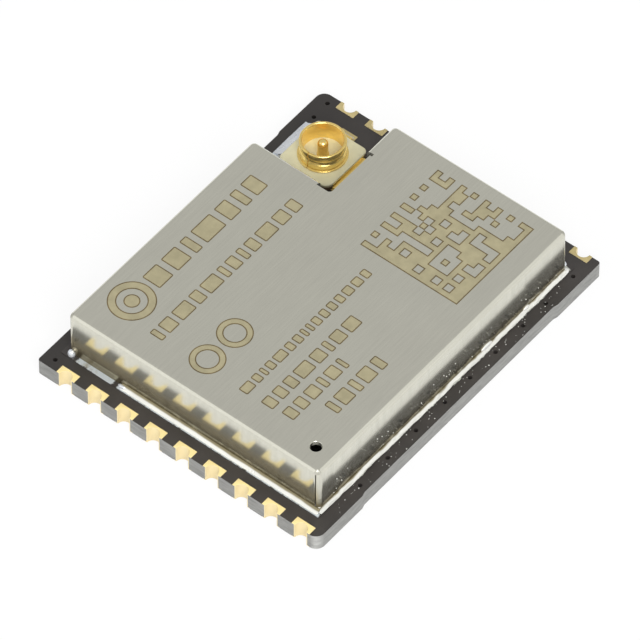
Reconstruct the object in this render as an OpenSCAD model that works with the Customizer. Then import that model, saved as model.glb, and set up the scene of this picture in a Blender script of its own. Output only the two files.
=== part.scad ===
// Shielded radio module for soldering onto a carrier board, in millimetres.
// +Z is up, +X runs along the long side, and the origin is the middle of the solder face.

/* [Board] */
// Length of the board along X
board_l = 18; // [16.4:0.1:22]
// Width of the board along Y
board_w = 14.3; // [14.2:0.1:18]
// Thickness of the board
board_t = 0.8; // [0.6:0.05:1.6]
// Radius of the two routed corners, near left and far right
board_corner_r = 0.42; // [0.2:0.02:0.6]
// Radius of the two broken corners, far left and near right
board_break_r = 0.12; // [0.05:0.01:0.3]
// Depth of the steps on the long edges, left by breaking the board from its panel
panel_step = 0.06; // [0.02:0.01:0.15]
// Length of the full-width stretch beside each corner on the long edges
panel_end_l = 3; // [1:0.1:5]
// Length of the sloped end of a step
panel_ramp = 0.25; // [0.1:0.05:0.6]

/* [Edge pads] */
// Number of pads along each short side
pads_per_side = 9; // [2:1:9]
// Distance from one pad to the next
pad_pitch = 1.5; // [1.2:0.01:1.5]
// Width of a pad along the board's edge
pad_w = 0.9; // [0.8:0.05:1.1]
// Place of the middle of both pad rows along Y
pad_row_y = -0.28; // [-0.3:0.01:0.3]
// Depth of the land on the top face
pad_top_depth = 0.42; // [0.4:0.01:0.7]
// Depth of the land on the solder face
pad_bottom_depth = 0.85; // [0.5:0.05:1.5]
// Clear diameter of the plated half hole
pad_hole_d = 0.6; // [0.4:0.05:0.6]
// Thickness of the plating inside the half hole
plating_t = 0.04; // [0.02:0.01:0.06]
// Thickness of every copper land
land_t = 0.03; // [0.02:0.01:0.07]

/* [Ground pad] */
// Number of squares along each side of the ground pad
ground_cells = 3; // [2:1:4]
// Side of one square
ground_cell = 0.7; // [0.4:0.05:0.9]
// Clearance between two squares
ground_gap = 0.4; // [0.2:0.05:0.6]

/* [Shield] */
// Clearance from the board's left short edge to the shield's outer face
shield_margin_left = 1.08; // [0.95:0.01:1.4]
// Clearance from the board's right short edge to the shield's outer face
shield_margin_right = 1.12; // [0.95:0.01:1.4]
// Clearance from the board's near long edge to the shield's outer face
shield_margin_near = 0.86; // [0.4:0.01:1.2]
// Clearance from the board's far long edge to the shield's outer face
shield_margin_far = 0.7; // [0.4:0.01:1.2]
// Height of the whole module, from the solder face to the top of the shield
module_h = 3.2; // [2.8:0.05:5]
// Thickness of the shield's sheet
sheet_t = 0.2; // [0.1:0.01:0.25]
// Inner radius of the bends
bend_in_r = 0.06; // [0.04:0.01:0.15]
// Outer radius of the upright corners beyond the bend
corner_extra_r = 0.03; // [0.02:0.01:0.2]
// Width of the open slit in each upright corner
slit_w = 0.08; // [0.04:0.01:0.15]
// Distance from the top of the shield to the top of a slit
slit_drop = 0.28; // [0.25:0.01:0.6]
// Diameter of the vent hole
vent_d = 0.5; // [0.3:0.05:0.9]
// Distance from the vent's middle to the shield's short wall
vent_from_x = 1.02; // [0.9:0.01:1.5]
// Distance from the vent's middle to the shield's near long wall
vent_from_y = 0.93; // [0.9:0.01:1.5]

/* [Notch in the shield] */
// Length of the notch along X
notch_l = 4.18; // [4.1:0.02:4.4]
// Width of the notch along Y
notch_w = 3.91; // [3.85:0.02:4.2]
// Length of the bent tab on the notch's long-side edge
tab_l = 1.49; // [0.8:0.01:1.8]
// Length of the relief left open beside the notch's side wall
relief_l = 0.7; // [0.4:0.05:1]
// Width of the small relief cut beside the tab
tab_relief_w = 0.14; // [0.08:0.01:0.2]
// Depth of the small relief cut beside the tab
tab_relief_d = 0.1; // [0.05:0.01:0.15]
// Radius in the notch's inner corner
notch_r = 0.25; // [0.1:0.05:0.35]

/* [Solder] */
// How far the shield's land reaches past the outside of its walls
shield_land_out = 0.22; // [0.2:0.01:0.3]
// How far the shield's land reaches inside its walls
shield_land_in = 0.15; // [0.05:0.01:0.3]
// Width of the solder seam at the foot of the shield
seam_w = 0.18; // [0.1:0.01:0.2]
// Height of the solder seam against the wall
seam_h = 0.26; // [0.1:0.01:0.5]
// Bare length left at each end of a solder seam
seam_end = 0.3; // [0.1:0.05:0.8]

/* [Aerial socket] */
// Distance from the notch's short-side wall to the socket's middle
socket_from_x = 2.48; // [2.1:0.01:2.8]
// Distance from the notch's long-side edge to the socket's middle
socket_from_y = 2.33; // [2.2:0.01:2.5]
// Side of the square insulator block
housing_side = 2.6; // [2.5:0.05:2.6]
// Height of the insulator block
housing_h = 0.32; // [0.28:0.01:0.5]
// Radius of the block's upright corners
housing_corner_r = 0.22; // [0.1:0.01:0.3]
// Outer diameter of the socket's ring
ring_d = 1.95; // [1.85:0.01:2.05]
// Thickness of the ring's wall
ring_t = 0.13; // [0.11:0.01:0.18]
// Height of the ring above the insulator block
ring_h = 0.9; // [0.8:0.01:1.2]
// How far the ring stands down into the block
ring_seat = 0.1; // [0.05:0.01:0.12]
// Diameter of the flange at the foot of the ring
flange_d = 2.1; // [2.08:0.01:2.3]
// Thickness of that flange
flange_t = 0.07; // [0.04:0.01:0.1]
// Depth of the snap groove round the ring
groove_depth = 0.07; // [0.03:0.01:0.08]
// Height of the snap groove
groove_h = 0.3; // [0.2:0.01:0.34]
// Height of the lip above the groove
lip_h = 0.24; // [0.15:0.01:0.3]
// Width of the open seam in the ring
ring_seam_w = 0.04; // [0.02:0.01:0.1]
// Diameter of the centre pin
pin_d = 0.5; // [0.4:0.01:0.58]
// Side of the square post that carries the pin inside the block
pin_post = 0.62; // [0.6:0.01:0.8]
// How far the pin's tip stays below the ring's rim
pin_drop = 0.08; // [0.02:0.01:0.3]
// Thickness of the feet
foot_t = 0.12; // [0.08:0.01:0.16]
// How far the feet stand out from the block
foot_out = 0.24; // [0.15:0.01:0.26]
// Length of a ground foot along the block
ground_foot_l = 2; // [1.4:0.05:2]
// Width of the signal foot
signal_foot_w = 0.62; // [0.4:0.01:0.8]
// How far the socket's lands reach past the feet
socket_land_out = 0.22; // [0.12:0.01:0.24]
// How far the socket's lands reach under the block
socket_land_in = 0.3; // [0.1:0.05:0.4]
// How far the socket's lands reach past the sides of the feet
socket_land_side = 0.08; // [0.05:0.01:0.12]

/* [Radio chip] */
// Side of the radio chip
radio_side = 5; // [4.8:0.1:5.2]
// Height of the radio chip
radio_h = 0.85; // [0.5:0.05:1]
// Number of leads along each side of the radio chip
radio_leads = 8; // [4:1:9]
// Distance from the radio chip's corner to the middle of the nearest lead
radio_lead_edge = 0.75; // [0.6:0.01:0.9]
// Distance from the shield's right outer face to the radio chip's middle
radio_from_x = 6.1; // [5.6:0.05:6.6]
// Distance from the shield's near outer face to the radio chip's middle
radio_from_y = 4.69; // [4.5:0.01:4.9]

/* [Memory chip] */
// Length of the memory chip along X
memory_l = 4; // [3.6:0.1:4.2]
// Width of the memory chip along Y
memory_w = 3; // [2.6:0.1:3.4]
// Height of the memory chip
memory_h = 0.6; // [0.45:0.05:0.9]
// Number of leads along each short side of the memory chip
memory_leads = 4; // [2:1:4]
// Distance from the memory chip's corner to the middle of the nearest lead
memory_lead_edge = 0.525; // [0.4:0.005:0.7]
// How far the metal paddle stays inside the memory chip's long sides
memory_paddle_in = 0.6; // [0.3:0.05:1]
// Distance from the shield's left outer face to the memory chip's middle
memory_from_x = 2.9; // [2.8:0.05:3.4]
// Distance from the shield's near outer face to the memory chip's middle
memory_from_y = 3.09; // [2.6:0.01:3.6]

/* [Chip leads] */
// Length of a lead, inwards from the chip's side
lead_l = 0.4; // [0.3:0.01:0.42]
// Width of a lead
lead_w = 0.24; // [0.18:0.01:0.28]
// Clearance between the leads and the metal paddle under a chip
paddle_gap = 0.3; // [0.2:0.01:0.6]
// Thickness of the leads and paddles
lead_t = 0.2; // [0.1:0.01:0.25]

/* [Crystal] */
// Length of the crystal's ceramic base along X
crystal_l = 3.2; // [2.9:0.1:3.4]
// Width of the crystal's ceramic base along Y
crystal_w = 2.5; // [2.3:0.1:2.7]
// Height of the ceramic base
crystal_base_h = 0.45; // [0.3:0.05:0.7]
// Height of the metal lid
crystal_lid_h = 0.25; // [0.1:0.05:0.4]
// How far the lid stays inside the base's edge
crystal_lid_in = 0.15; // [0.1:0.01:0.3]
// Radius of the quarter-round in each corner of the base
crystal_corner_r = 0.2; // [0.1:0.01:0.3]
// Distance from the shield's left outer face to the crystal's middle
crystal_from_x = 3.3; // [2.4:0.05:3.6]
// Distance from the shield's far outer face to the crystal's middle
crystal_from_y = 3.55; // [2:0.05:3.8]

/* [Small components] */
// Length of every small component
small_l = 1; // [0.8:0.05:1.05]
// Width of every small component
small_w = 0.5; // [0.4:0.05:0.55]
// Length of each end cap
cap_l = 0.24; // [0.15:0.01:0.3]
// How far an end cap stands out from the body it covers
cap_over = 0.015; // [0.005:0.005:0.03]
// Height of a capacitor
capacitor_h = 0.5; // [0.3:0.05:0.7]
// Height of a resistor
resistor_h = 0.35; // [0.25:0.05:0.5]
// Height of an inductor
inductor_h = 0.55; // [0.3:0.05:0.7]
// Distance from one small component to the next beside it
small_step = 0.95; // [0.9:0.01:1]
// Distance from the notch's long-side edge to the line of inductors
inductor_from_notch = 1.14; // [0.8:0.01:1.4]
// Distance from one inductor to the next along the aerial line
inductor_step = 1.3; // [1.2:0.01:1.32]
// Clearance between the radio chip and the components around it
chip_gap = 0.5; // [0.3:0.05:0.6]

/* [Hidden] */
$fn = 48;
eps = 0.01;

// Outer faces of the shield and of its notch
shield_x0 = shield_margin_left - board_l / 2;
shield_x1 = board_l / 2 - shield_margin_right;
shield_y0 = shield_margin_near - board_w / 2;
shield_y1 = board_w / 2 - shield_margin_far;
shield_l = shield_x1 - shield_x0;
shield_w = shield_y1 - shield_y0;
notch_x = shield_x1 - notch_l;
notch_y = shield_y1 - notch_w;

// Bends and upright corners, measured on the outside
bend_r = bend_in_r + sheet_t;
corner_r = bend_r + corner_extra_r;
board_top = board_t;
land_top = board_top + land_t;
wall_h = module_h - land_top;
tab_x = shield_x1 - corner_r - tab_l;
side_wall_y = notch_y - bend_r + relief_l;

// Corners of the shield as [x, y, turn], where turn 0 is a corner towards +X and +Y
shield_corners = [
  [shield_x1, notch_y, 0],
  [notch_x, shield_y1, 0],
  [shield_x0, shield_y1, 90],
  [shield_x0, shield_y0, 180],
  [shield_x1, shield_y0, 270]
];

// Walls of the shield as [x, y, turn, length]: the start of the bend line, the direction and the length
shield_walls = [
  [shield_x0 + corner_r, shield_y1 - bend_r, 0, notch_x - shield_x0 - 2 * corner_r],
  [shield_x0 + bend_r, shield_y0 + corner_r, 90, shield_w - 2 * corner_r],
  [shield_x1 - corner_r, shield_y0 + bend_r, 180, shield_l - 2 * corner_r],
  [shield_x1 - bend_r, notch_y - corner_r, 270, notch_y - shield_y0 - 2 * corner_r],
  [tab_x, notch_y - bend_r, 0, tab_l],
  [notch_x - bend_r, shield_y1 - corner_r, 270, shield_y1 - corner_r - side_wall_y]
];

// Aerial socket
socket_x = notch_x + socket_from_x;
socket_y = notch_y + socket_from_y;
housing_top = land_top + housing_h;
ring_r = ring_d / 2;
ring_in_r = ring_r - ring_t;
foot_reach = housing_side / 2 + foot_out;

// Places of the chips and the crystal, each held off the walls beside it
radio_x = shield_x1 - radio_from_x;
radio_y = shield_y0 + radio_from_y;
memory_x = shield_x0 + memory_from_x;
memory_y = shield_y0 + memory_from_y;
crystal_x = shield_x0 + crystal_from_x;
crystal_y = shield_y1 - crystal_from_y;

// Layout of the small components as [x, y, turn], in rows beside the radio chip
near_chip = radio_side / 2 + chip_gap + small_l / 2;
first_capacitor_y = radio_y - radio_side / 2 + small_w / 2;
capacitor_places = concat(
  [for (i = [0:1:3]) [radio_x + near_chip, first_capacitor_y + i * small_step, 0]],
  [for (i = [-2.5:1:0.5]) [radio_x + i * small_step, radio_y + near_chip, 90]]
);
resistor_places = [for (i = [-1:1:1]) [radio_x + i * small_step, radio_y - near_chip, 90]];
inductor_places = [
  for (i = [-0.5:1:0.5])
    [radio_x + near_chip + small_l / 2 + i * inductor_step, notch_y - inductor_from_notch, 0]
];

pad_count = 2 * pads_per_side;
pad_names = [for (i = [1:pad_count]) str("edge_pad_", i)];

// Plates and outlines

module rounded_rect(l, w, r) {
  for (sx = [-1, 1], sy = [-1, 1])
    translate([sx * (l / 2 - r), sy * (w / 2 - r)])
      circle(r = r);
  square([l, w - 2 * r], center = true);
  square([l - 2 * r, w], center = true);
}

// Strip taken off a long edge: full depth between its ramps, running from x = 0 to x = l
module edge_step(l) {
  polygon([
    [-panel_ramp, -eps], [0, panel_step], [l, panel_step], [l + panel_ramp, -eps]
  ]);
}

// Corners of the board as [side along X, side along Y, radius]
board_corners = [
  [1, 1, board_corner_r],
  [-1, 1, board_break_r],
  [-1, -1, board_corner_r],
  [1, -1, board_break_r]
];

module board_blank() {
  for (c = board_corners)
    translate([c[0] * (board_l / 2 - c[2]), c[1] * (board_w / 2 - c[2])])
      circle(r = c[2]);
  polygon([
    for (c = board_corners)
      for (along = c[0] == c[1] ? [0, 1] : [1, 0])
        [c[0] * (board_l / 2 - along * c[2]), c[1] * (board_w / 2 - (1 - along) * c[2])]
  ]);
}

module board_outline() {
  difference() {
    board_blank();
    for (side = [0, 1])
      mirror([0, side])
        translate([panel_end_l - board_l / 2, -board_w / 2])
          edge_step(board_l - 2 * panel_end_l);
  }
}

// Edge pads. Pad 1 is the far end of the left side, and the count goes round as on a chip.

function pad_side(i) = i <= pads_per_side ? -1 : 1;
function pad_step(i) = i <= pads_per_side ? i - 1 : pad_count - i;
function pad_y(i) = pad_row_y + (pads_per_side - 1) / 2 * pad_pitch - pad_step(i) * pad_pitch;

// Moves its children to pad i, with the board's edge at x = 0 and the board towards -X
module at_pad(i) {
  translate([pad_side(i) * board_l / 2, pad_y(i), 0])
    rotate([0, 0, pad_side(i) > 0 ? 0 : 180])
      children();
}

module pad_land(depth) {
  difference() {
    translate([-depth, -pad_w / 2])
      square([depth, pad_w]);
    circle(d = pad_hole_d);
  }
}

module pad_barrel() {
  intersection() {
    difference() {
      circle(d = pad_hole_d + 2 * plating_t);
      circle(d = pad_hole_d);
    }
    translate([-pad_hole_d, -pad_hole_d])
      square([pad_hole_d, 2 * pad_hole_d]);
  }
}

module edge_pad(i) {
  color([0.86, 0.7, 0.36])
    at_pad(i) {
      linear_extrude(land_t)
        pad_land(pad_bottom_depth);
      linear_extrude(board_t)
        pad_barrel();
      translate([0, 0, board_t])
        linear_extrude(land_t)
          pad_land(pad_top_depth);
    }
}

module ground_squares() {
  step = ground_cell + ground_gap;
  first = -(ground_cells - 1) / 2;
  for (i = [0:ground_cells - 1], j = [0:ground_cells - 1])
    translate([radio_x + (first + i) * step, radio_y + (first + j) * step])
      square(ground_cell, center = true);
}

module ground_pad() {
  color([0.86, 0.7, 0.36])
    linear_extrude(land_t)
      ground_squares();
}

module circuit_board() {
  color([0.1, 0.1, 0.1])
    difference() {
      linear_extrude(board_t)
        board_outline();
      for (i = [1:pad_count])
        at_pad(i) {
          translate([0, 0, -eps])
            cylinder(d = pad_hole_d + 2 * plating_t, h = board_t + 2 * eps);
          translate([-pad_bottom_depth, -pad_w / 2, -eps])
            cube([pad_bottom_depth + eps, pad_w, land_t + eps]);
        }
      translate([0, 0, -eps])
        linear_extrude(land_t + eps)
          ground_squares();
    }
}

// Shield can. Every wall is the same bent section: an arc at the top and a straight leg below it.

module wall_section() {
  translate([0, wall_h - bend_r])
    intersection() {
      difference() {
        circle(r = bend_r);
        circle(r = bend_in_r);
      }
      square(bend_r);
    }
  translate([bend_in_r, 0])
    square([sheet_t, wall_h - bend_r]);
}

module shield_wall(l) {
  rotate([90, 0, 90])
    linear_extrude(l)
      wall_section();
}

module shield_corner() {
  rotate_extrude(angle = 90) {
    translate([corner_extra_r, 0])
      wall_section();
    translate([0, wall_h - sheet_t])
      square([corner_extra_r, sheet_t]);
  }
}

// Moves its children to the middle of the rounding of shield corner c
module at_corner(c) {
  translate([c[0], c[1], land_top])
    rotate([0, 0, c[2]])
      translate([-corner_r, -corner_r, 0])
        children();
}

// The flat of the top, up to the bend lines, with the notch and both reliefs
module shield_flat() {
  inset_l = shield_l - 2 * bend_r;
  inset_w = shield_w - 2 * bend_r;
  bend_x = notch_x - bend_r;
  bend_y = notch_y - bend_r;
  difference() {
    translate([shield_x0 + bend_r, shield_y0 + bend_r])
      square([inset_l, inset_w]);
    difference() {
      translate([bend_x, bend_y])
        square([shield_l, shield_w]);
      translate([bend_x, bend_y])
        difference() {
          square(notch_r);
          translate([notch_r, notch_r])
            circle(r = notch_r);
        }
    }
    translate([tab_x - tab_relief_w, bend_y - tab_relief_d])
      square([tab_relief_w, tab_relief_d + eps]);
    translate([shield_x0 + vent_from_x, shield_y0 + vent_from_y])
      circle(d = vent_d);
    for (c = shield_corners)
      translate([c[0], c[1]])
        rotate(c[2])
          translate([-corner_r, -corner_r])
            square(corner_r);
  }
}

module shield_can() {
  color([0.7, 0.7, 0.68])
    difference() {
      union() {
        translate([0, 0, module_h - sheet_t])
          linear_extrude(sheet_t)
            shield_flat();
        for (w = shield_walls)
          translate([w[0], w[1], land_top])
            rotate([0, 0, w[2]])
              shield_wall(w[3]);
        for (c = shield_corners)
          at_corner(c)
            shield_corner();
      }
      for (c = shield_corners)
        at_corner(c)
          rotate([0, 0, 45])
            translate([0, -slit_w / 2, -eps])
              cube([corner_r + eps, slit_w, wall_h - slit_drop + eps]);
    }
}

// Outline of the shield's footprint, moved out by m from its outer faces
module shield_footprint(m) {
  difference() {
    translate([shield_x0 - m, shield_y0 - m])
      square([shield_l + 2 * m, shield_w + 2 * m]);
    translate([notch_x + m, notch_y + m])
      square([shield_l, shield_w]);
  }
}

module shield_land() {
  color([0.72, 0.73, 0.74])
    translate([0, 0, board_top])
      linear_extrude(land_t)
        difference() {
          shield_footprint(shield_land_out);
          shield_footprint(-sheet_t - shield_land_in);
        }
}

// Solder seam of length l on the outside of a wall, a fillet with a hollow face
module seam(l) {
  rotate([90, 0, 90])
    linear_extrude(l)
      polygon([
        [0, 0], [seam_w, 0], [0.9 * seam_w, 0.12 * seam_h], [0.45 * seam_w, 0.3 * seam_h],
        [0.15 * seam_w, 0.62 * seam_h], [0, seam_h]
      ]);
}

module shield_solder() {
  color([0.8, 0.8, 0.8])
    for (w = shield_walls)
      translate([w[0], w[1], land_top])
        rotate([0, 0, w[2]])
          translate([seam_end, bend_r, 0])
            seam(w[3] - 2 * seam_end);
}

// Aerial socket

module at_socket(z) {
  translate([socket_x, socket_y, z])
    children();
}

// Section of the ring: flange, straight foot, snap groove and lip with a rounded rim
module ring_section() {
  rim = ring_t / 2;
  groove_mid = ring_h - lip_h - groove_h / 2;
  groove_r = (groove_h * groove_h / 4 + groove_depth * groove_depth) / (2 * groove_depth);
  difference() {
    union() {
      translate([ring_in_r, -ring_seat])
        square([ring_t, ring_h + ring_seat - rim]);
      translate([ring_in_r + rim, ring_h - rim])
        circle(r = rim);
      translate([ring_in_r + rim, 0])
        square([flange_d / 2 - ring_in_r - rim, flange_t]);
    }
    translate([ring_r + groove_r - groove_depth, groove_mid])
      circle(r = groove_r);
  }
}

// A ground foot: a strap under the ring's edge that comes out of the block along the board
module ground_foot() {
  translate([-ground_foot_l / 2, ring_in_r, 0])
    cube([ground_foot_l, foot_reach - ring_in_r, foot_t]);
  intersection() {
    difference() {
      cylinder(r = ring_r, h = housing_h - ring_seat);
      translate([0, 0, -eps])
        cylinder(r = ring_in_r, h = housing_h + 2 * eps);
    }
    translate([-ground_foot_l / 4, 0, 0])
      cube([ground_foot_l / 2, ring_r, housing_h]);
  }
}

module shell_solid() {
  difference() {
    at_socket(housing_top)
      rotate_extrude()
        ring_section();
    at_socket(housing_top - ring_seat - eps)
      translate([-flange_d / 2 - eps, -ring_seam_w / 2, 0])
        cube([flange_d / 2, ring_seam_w, ring_h + ring_seat + 2 * eps]);
  }
  for (turn = [0, 180])
    at_socket(land_top)
      rotate([0, 0, turn])
        ground_foot();
}

module socket_shell() {
  color([0.85, 0.65, 0.28])
    shell_solid();
}

module contact_solid() {
  tip_z = housing_top + ring_h - pin_drop;
  at_socket(land_top) {
    translate([0, -signal_foot_w / 2, 0])
      cube([foot_reach, signal_foot_w, foot_t]);
    translate([-pin_post / 2, -pin_post / 2, 0])
      cube([pin_post, pin_post, housing_h]);
    translate([0, 0, housing_h])
      cylinder(d = pin_d, h = tip_z - pin_d / 2 - housing_top);
    translate([0, 0, tip_z - pin_d / 2 - land_top])
      sphere(d = pin_d);
  }
}

module socket_contact() {
  color([0.88, 0.7, 0.32])
    contact_solid();
}

module socket_housing() {
  color([0.88, 0.84, 0.71])
    difference() {
      at_socket(land_top)
        linear_extrude(housing_h)
          rounded_rect(housing_side, housing_side, housing_corner_r);
      at_socket(housing_top - ring_seat)
        linear_extrude(ring_seat + eps)
          difference() {
            circle(r = ring_r);
            circle(r = ring_in_r);
          }
      for (turn = [0, 180])
        at_socket(land_top)
          rotate([0, 0, turn])
            ground_foot();
      contact_solid();
    }
}

module foot_land(w) {
  length = foot_reach + socket_land_out - housing_side / 2 + socket_land_in;
  translate([housing_side / 2 - socket_land_in, -w / 2 - socket_land_side])
    square([length, w + 2 * socket_land_side]);
}

module socket_lands() {
  color([0.72, 0.73, 0.74])
    at_socket(board_top)
      linear_extrude(land_t) {
        foot_land(signal_foot_w);
        for (turn = [90, 270])
          rotate(turn)
            foot_land(ground_foot_l);
      }
}

// Solder along the open end of a foot of width w
module foot_solder(w) {
  translate([foot_reach, w / 2, 0])
    rotate([90, 0, 0])
      linear_extrude(w)
        polygon([[0, 0], [socket_land_out, 0], [0, foot_t]]);
}

module socket_solder() {
  color([0.8, 0.8, 0.8])
    at_socket(land_top) {
      foot_solder(signal_foot_w);
      for (turn = [90, 270])
        rotate([0, 0, turn])
          foot_solder(ground_foot_l);
    }
}

// Chips in flat no-lead packages: leads along the sides, a paddle in the middle, flush with the bottom

// Row of leads along a side of the given length, whose outer face is at x = half
module lead_row(count, side, edge, half) {
  pitch = (side - 2 * edge) / (count - 1);
  for (i = [0:count - 1])
    translate([half - lead_l, edge - side / 2 + i * pitch - lead_w / 2, 0])
      cube([lead_l, lead_w, lead_t]);
}

module paddle(l, w) {
  translate([-l / 2, -w / 2, 0])
    cube([l, w, lead_t]);
}

module radio_leads_solid() {
  translate([radio_x, radio_y, board_top]) {
    for (turn = [0:90:270])
      rotate([0, 0, turn])
        lead_row(radio_leads, radio_side, radio_lead_edge, radio_side / 2);
    paddle(radio_side - 2 * (lead_l + paddle_gap), radio_side - 2 * (lead_l + paddle_gap));
  }
}

module radio_chip_leads() {
  color([0.78, 0.78, 0.76])
    radio_leads_solid();
}

module radio_chip_body() {
  color([0.12, 0.12, 0.13])
    difference() {
      translate([radio_x - radio_side / 2, radio_y - radio_side / 2, board_top])
        cube([radio_side, radio_side, radio_h]);
      radio_leads_solid();
    }
}

module memory_leads_solid() {
  translate([memory_x, memory_y, board_top]) {
    for (turn = [0, 180])
      rotate([0, 0, turn])
        lead_row(memory_leads, memory_w, memory_lead_edge, memory_l / 2);
    paddle(memory_l - 2 * (lead_l + paddle_gap), memory_w - 2 * memory_paddle_in);
  }
}

module memory_chip_leads() {
  color([0.78, 0.78, 0.76])
    memory_leads_solid();
}

module memory_chip_body() {
  color([0.14, 0.14, 0.14])
    difference() {
      translate([memory_x - memory_l / 2, memory_y - memory_w / 2, board_top])
        cube([memory_l, memory_w, memory_h]);
      memory_leads_solid();
    }
}

// Crystal: a ceramic base with a quarter-round in each corner, and a flat metal lid

module crystal_base() {
  color([0.55, 0.53, 0.5])
    translate([crystal_x, crystal_y, board_top])
      linear_extrude(crystal_base_h)
        difference() {
          square([crystal_l, crystal_w], center = true);
          for (sx = [-1, 1], sy = [-1, 1])
            translate([sx * crystal_l / 2, sy * crystal_w / 2])
              circle(r = crystal_corner_r);
        }
}

module crystal_lid() {
  color([0.8, 0.78, 0.7])
    translate([crystal_x, crystal_y, board_top + crystal_base_h])
      linear_extrude(crystal_lid_h)
        rounded_rect(crystal_l - 2 * crystal_lid_in, crystal_w - 2 * crystal_lid_in, crystal_corner_r);
}

// Small components: a body between two end caps

module at_place(p) {
  translate([p[0], p[1], board_top])
    rotate([0, 0, p[2]])
      children();
}

module small_body(h) {
  body_w = small_w - 2 * cap_over;
  translate([cap_l - small_l / 2, -body_w / 2, cap_over])
    cube([small_l - 2 * cap_l, body_w, h - 2 * cap_over]);
}

module small_ends(h) {
  for (turn = [0, 180])
    rotate([0, 0, turn])
      translate([small_l / 2 - cap_l, -small_w / 2, 0])
        cube([cap_l, small_w, h]);
}

module capacitor_bodies() {
  color([0.72, 0.6, 0.45])
    for (p = capacitor_places)
      at_place(p)
        small_body(capacitor_h);
}

module capacitor_ends() {
  color([0.8, 0.8, 0.8])
    for (p = capacitor_places)
      at_place(p)
        small_ends(capacitor_h);
}

module resistor_bodies() {
  color([0.1, 0.1, 0.11])
    for (p = resistor_places)
      at_place(p)
        small_body(resistor_h);
}

module resistor_ends() {
  color([0.8, 0.8, 0.8])
    for (p = resistor_places)
      at_place(p)
        small_ends(resistor_h);
}

module inductor_bodies() {
  color([0.85, 0.87, 0.88])
    for (p = inductor_places)
      at_place(p)
        small_body(inductor_h);
}

module inductor_ends() {
  color([0.8, 0.8, 0.8])
    for (p = inductor_places)
      at_place(p)
        small_ends(inductor_h);
}

circuit_board();
ground_pad();
shield_land();
shield_can();
shield_solder();
socket_lands();
socket_housing();
socket_shell();
socket_contact();
socket_solder();
radio_chip_body();
radio_chip_leads();
memory_chip_body();
memory_chip_leads();
crystal_base();
crystal_lid();
capacitor_bodies();
capacitor_ends();
resistor_bodies();
resistor_ends();
inductor_bodies();
inductor_ends();
for (i = [1:pad_count])
  edge_pad(i);
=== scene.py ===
"""Looks of a board-mounted wireless module, built around its packed solids."""
import math
import random
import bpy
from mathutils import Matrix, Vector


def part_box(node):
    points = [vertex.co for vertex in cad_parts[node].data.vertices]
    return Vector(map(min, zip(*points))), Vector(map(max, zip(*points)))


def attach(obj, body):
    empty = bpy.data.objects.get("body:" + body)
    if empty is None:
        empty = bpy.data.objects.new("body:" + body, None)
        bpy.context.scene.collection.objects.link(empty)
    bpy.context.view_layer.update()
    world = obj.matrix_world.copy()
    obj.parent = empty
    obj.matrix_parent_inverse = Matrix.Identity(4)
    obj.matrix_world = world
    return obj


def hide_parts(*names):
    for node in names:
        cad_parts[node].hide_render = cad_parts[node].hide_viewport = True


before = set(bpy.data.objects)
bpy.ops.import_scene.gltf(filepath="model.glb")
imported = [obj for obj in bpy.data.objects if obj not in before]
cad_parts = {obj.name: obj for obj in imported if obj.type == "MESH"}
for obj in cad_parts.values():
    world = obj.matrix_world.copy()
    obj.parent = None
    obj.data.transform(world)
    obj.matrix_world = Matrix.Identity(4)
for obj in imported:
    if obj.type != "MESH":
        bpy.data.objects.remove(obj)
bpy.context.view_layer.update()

from types import SimpleNamespace

import bmesh
import bpy
from bpy.props import FloatProperty, FloatVectorProperty, IntProperty, PointerProperty
from mathutils import Matrix, Vector

bl_info = {
    "name": "Wireless Module",
    "version": (1, 0, 0),
    "blender": (4, 5, 0),
    "location": "View3D > Sidebar > Module",
    "description": "Builds the drawn pieces of a shielded wireless module over its solids",
    "category": "Mesh",
}

# The pieces are modelled in millimetres and brought to metres when they are done
MM = 0.001
ROOT = "root"
# Distances under which two points count as one
NEAR = 1e-4
FINE = 1e-5
# Span that holds most values of a noise texture
USUAL = (0.3, 0.7)


def node_box(*names):
    """Lowest and highest corner of some CAD nodes together, in millimetres."""
    corners = [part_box(n) for n in names]
    low = Vector([min(c[0][i] for c in corners) for i in range(3)]) / MM
    high = Vector([max(c[1][i] for c in corners) for i in range(3)]) / MM
    return low, high


BOARD_HIGH = node_box("circuit_board")[1]
CAN_LOW, CAN_HIGH = node_box("shield_can")
RING_LOW, RING_HIGH = node_box("socket_shell")
PIN_LOW, PIN_HIGH = node_box("socket_contact")
HOUSING_LOW, HOUSING_HIGH = node_box("socket_housing")
PAD = "edge_pad_"
PAD_NAMES = sorted(
    (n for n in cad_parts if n.startswith(PAD)), key=lambda n: int(n[len(PAD):]))
SOCKET_X = (HOUSING_LOW.x + HOUSING_HIGH.x) / 2
SOCKET_Y = (HOUSING_LOW.y + HOUSING_HIGH.y) / 2


# Properties

def length(name, text, value):
    """A length property, given in millimetres."""
    return FloatProperty(
        name=name, description=text, default=value * MM, min=0.0, unit="LENGTH", precision=5)


def offset(name, text, value):
    """A length property that may be negative, given in millimetres."""
    return FloatProperty(
        name=name, description=text, default=value * MM, unit="LENGTH", precision=6)


def angle(name, text, value):
    """An angle property, given in degrees."""
    return FloatProperty(name=name, description=text, default=math.radians(value), subtype="ANGLE")


def amount(name, text, value):
    """A plain number property."""
    return FloatProperty(name=name, description=text, default=value)


def tint(name, text, value):
    """A colour property."""
    return FloatVectorProperty(
        name=name, description=text, default=value, size=3, min=0.0, max=1.0, subtype="COLOR")


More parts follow.
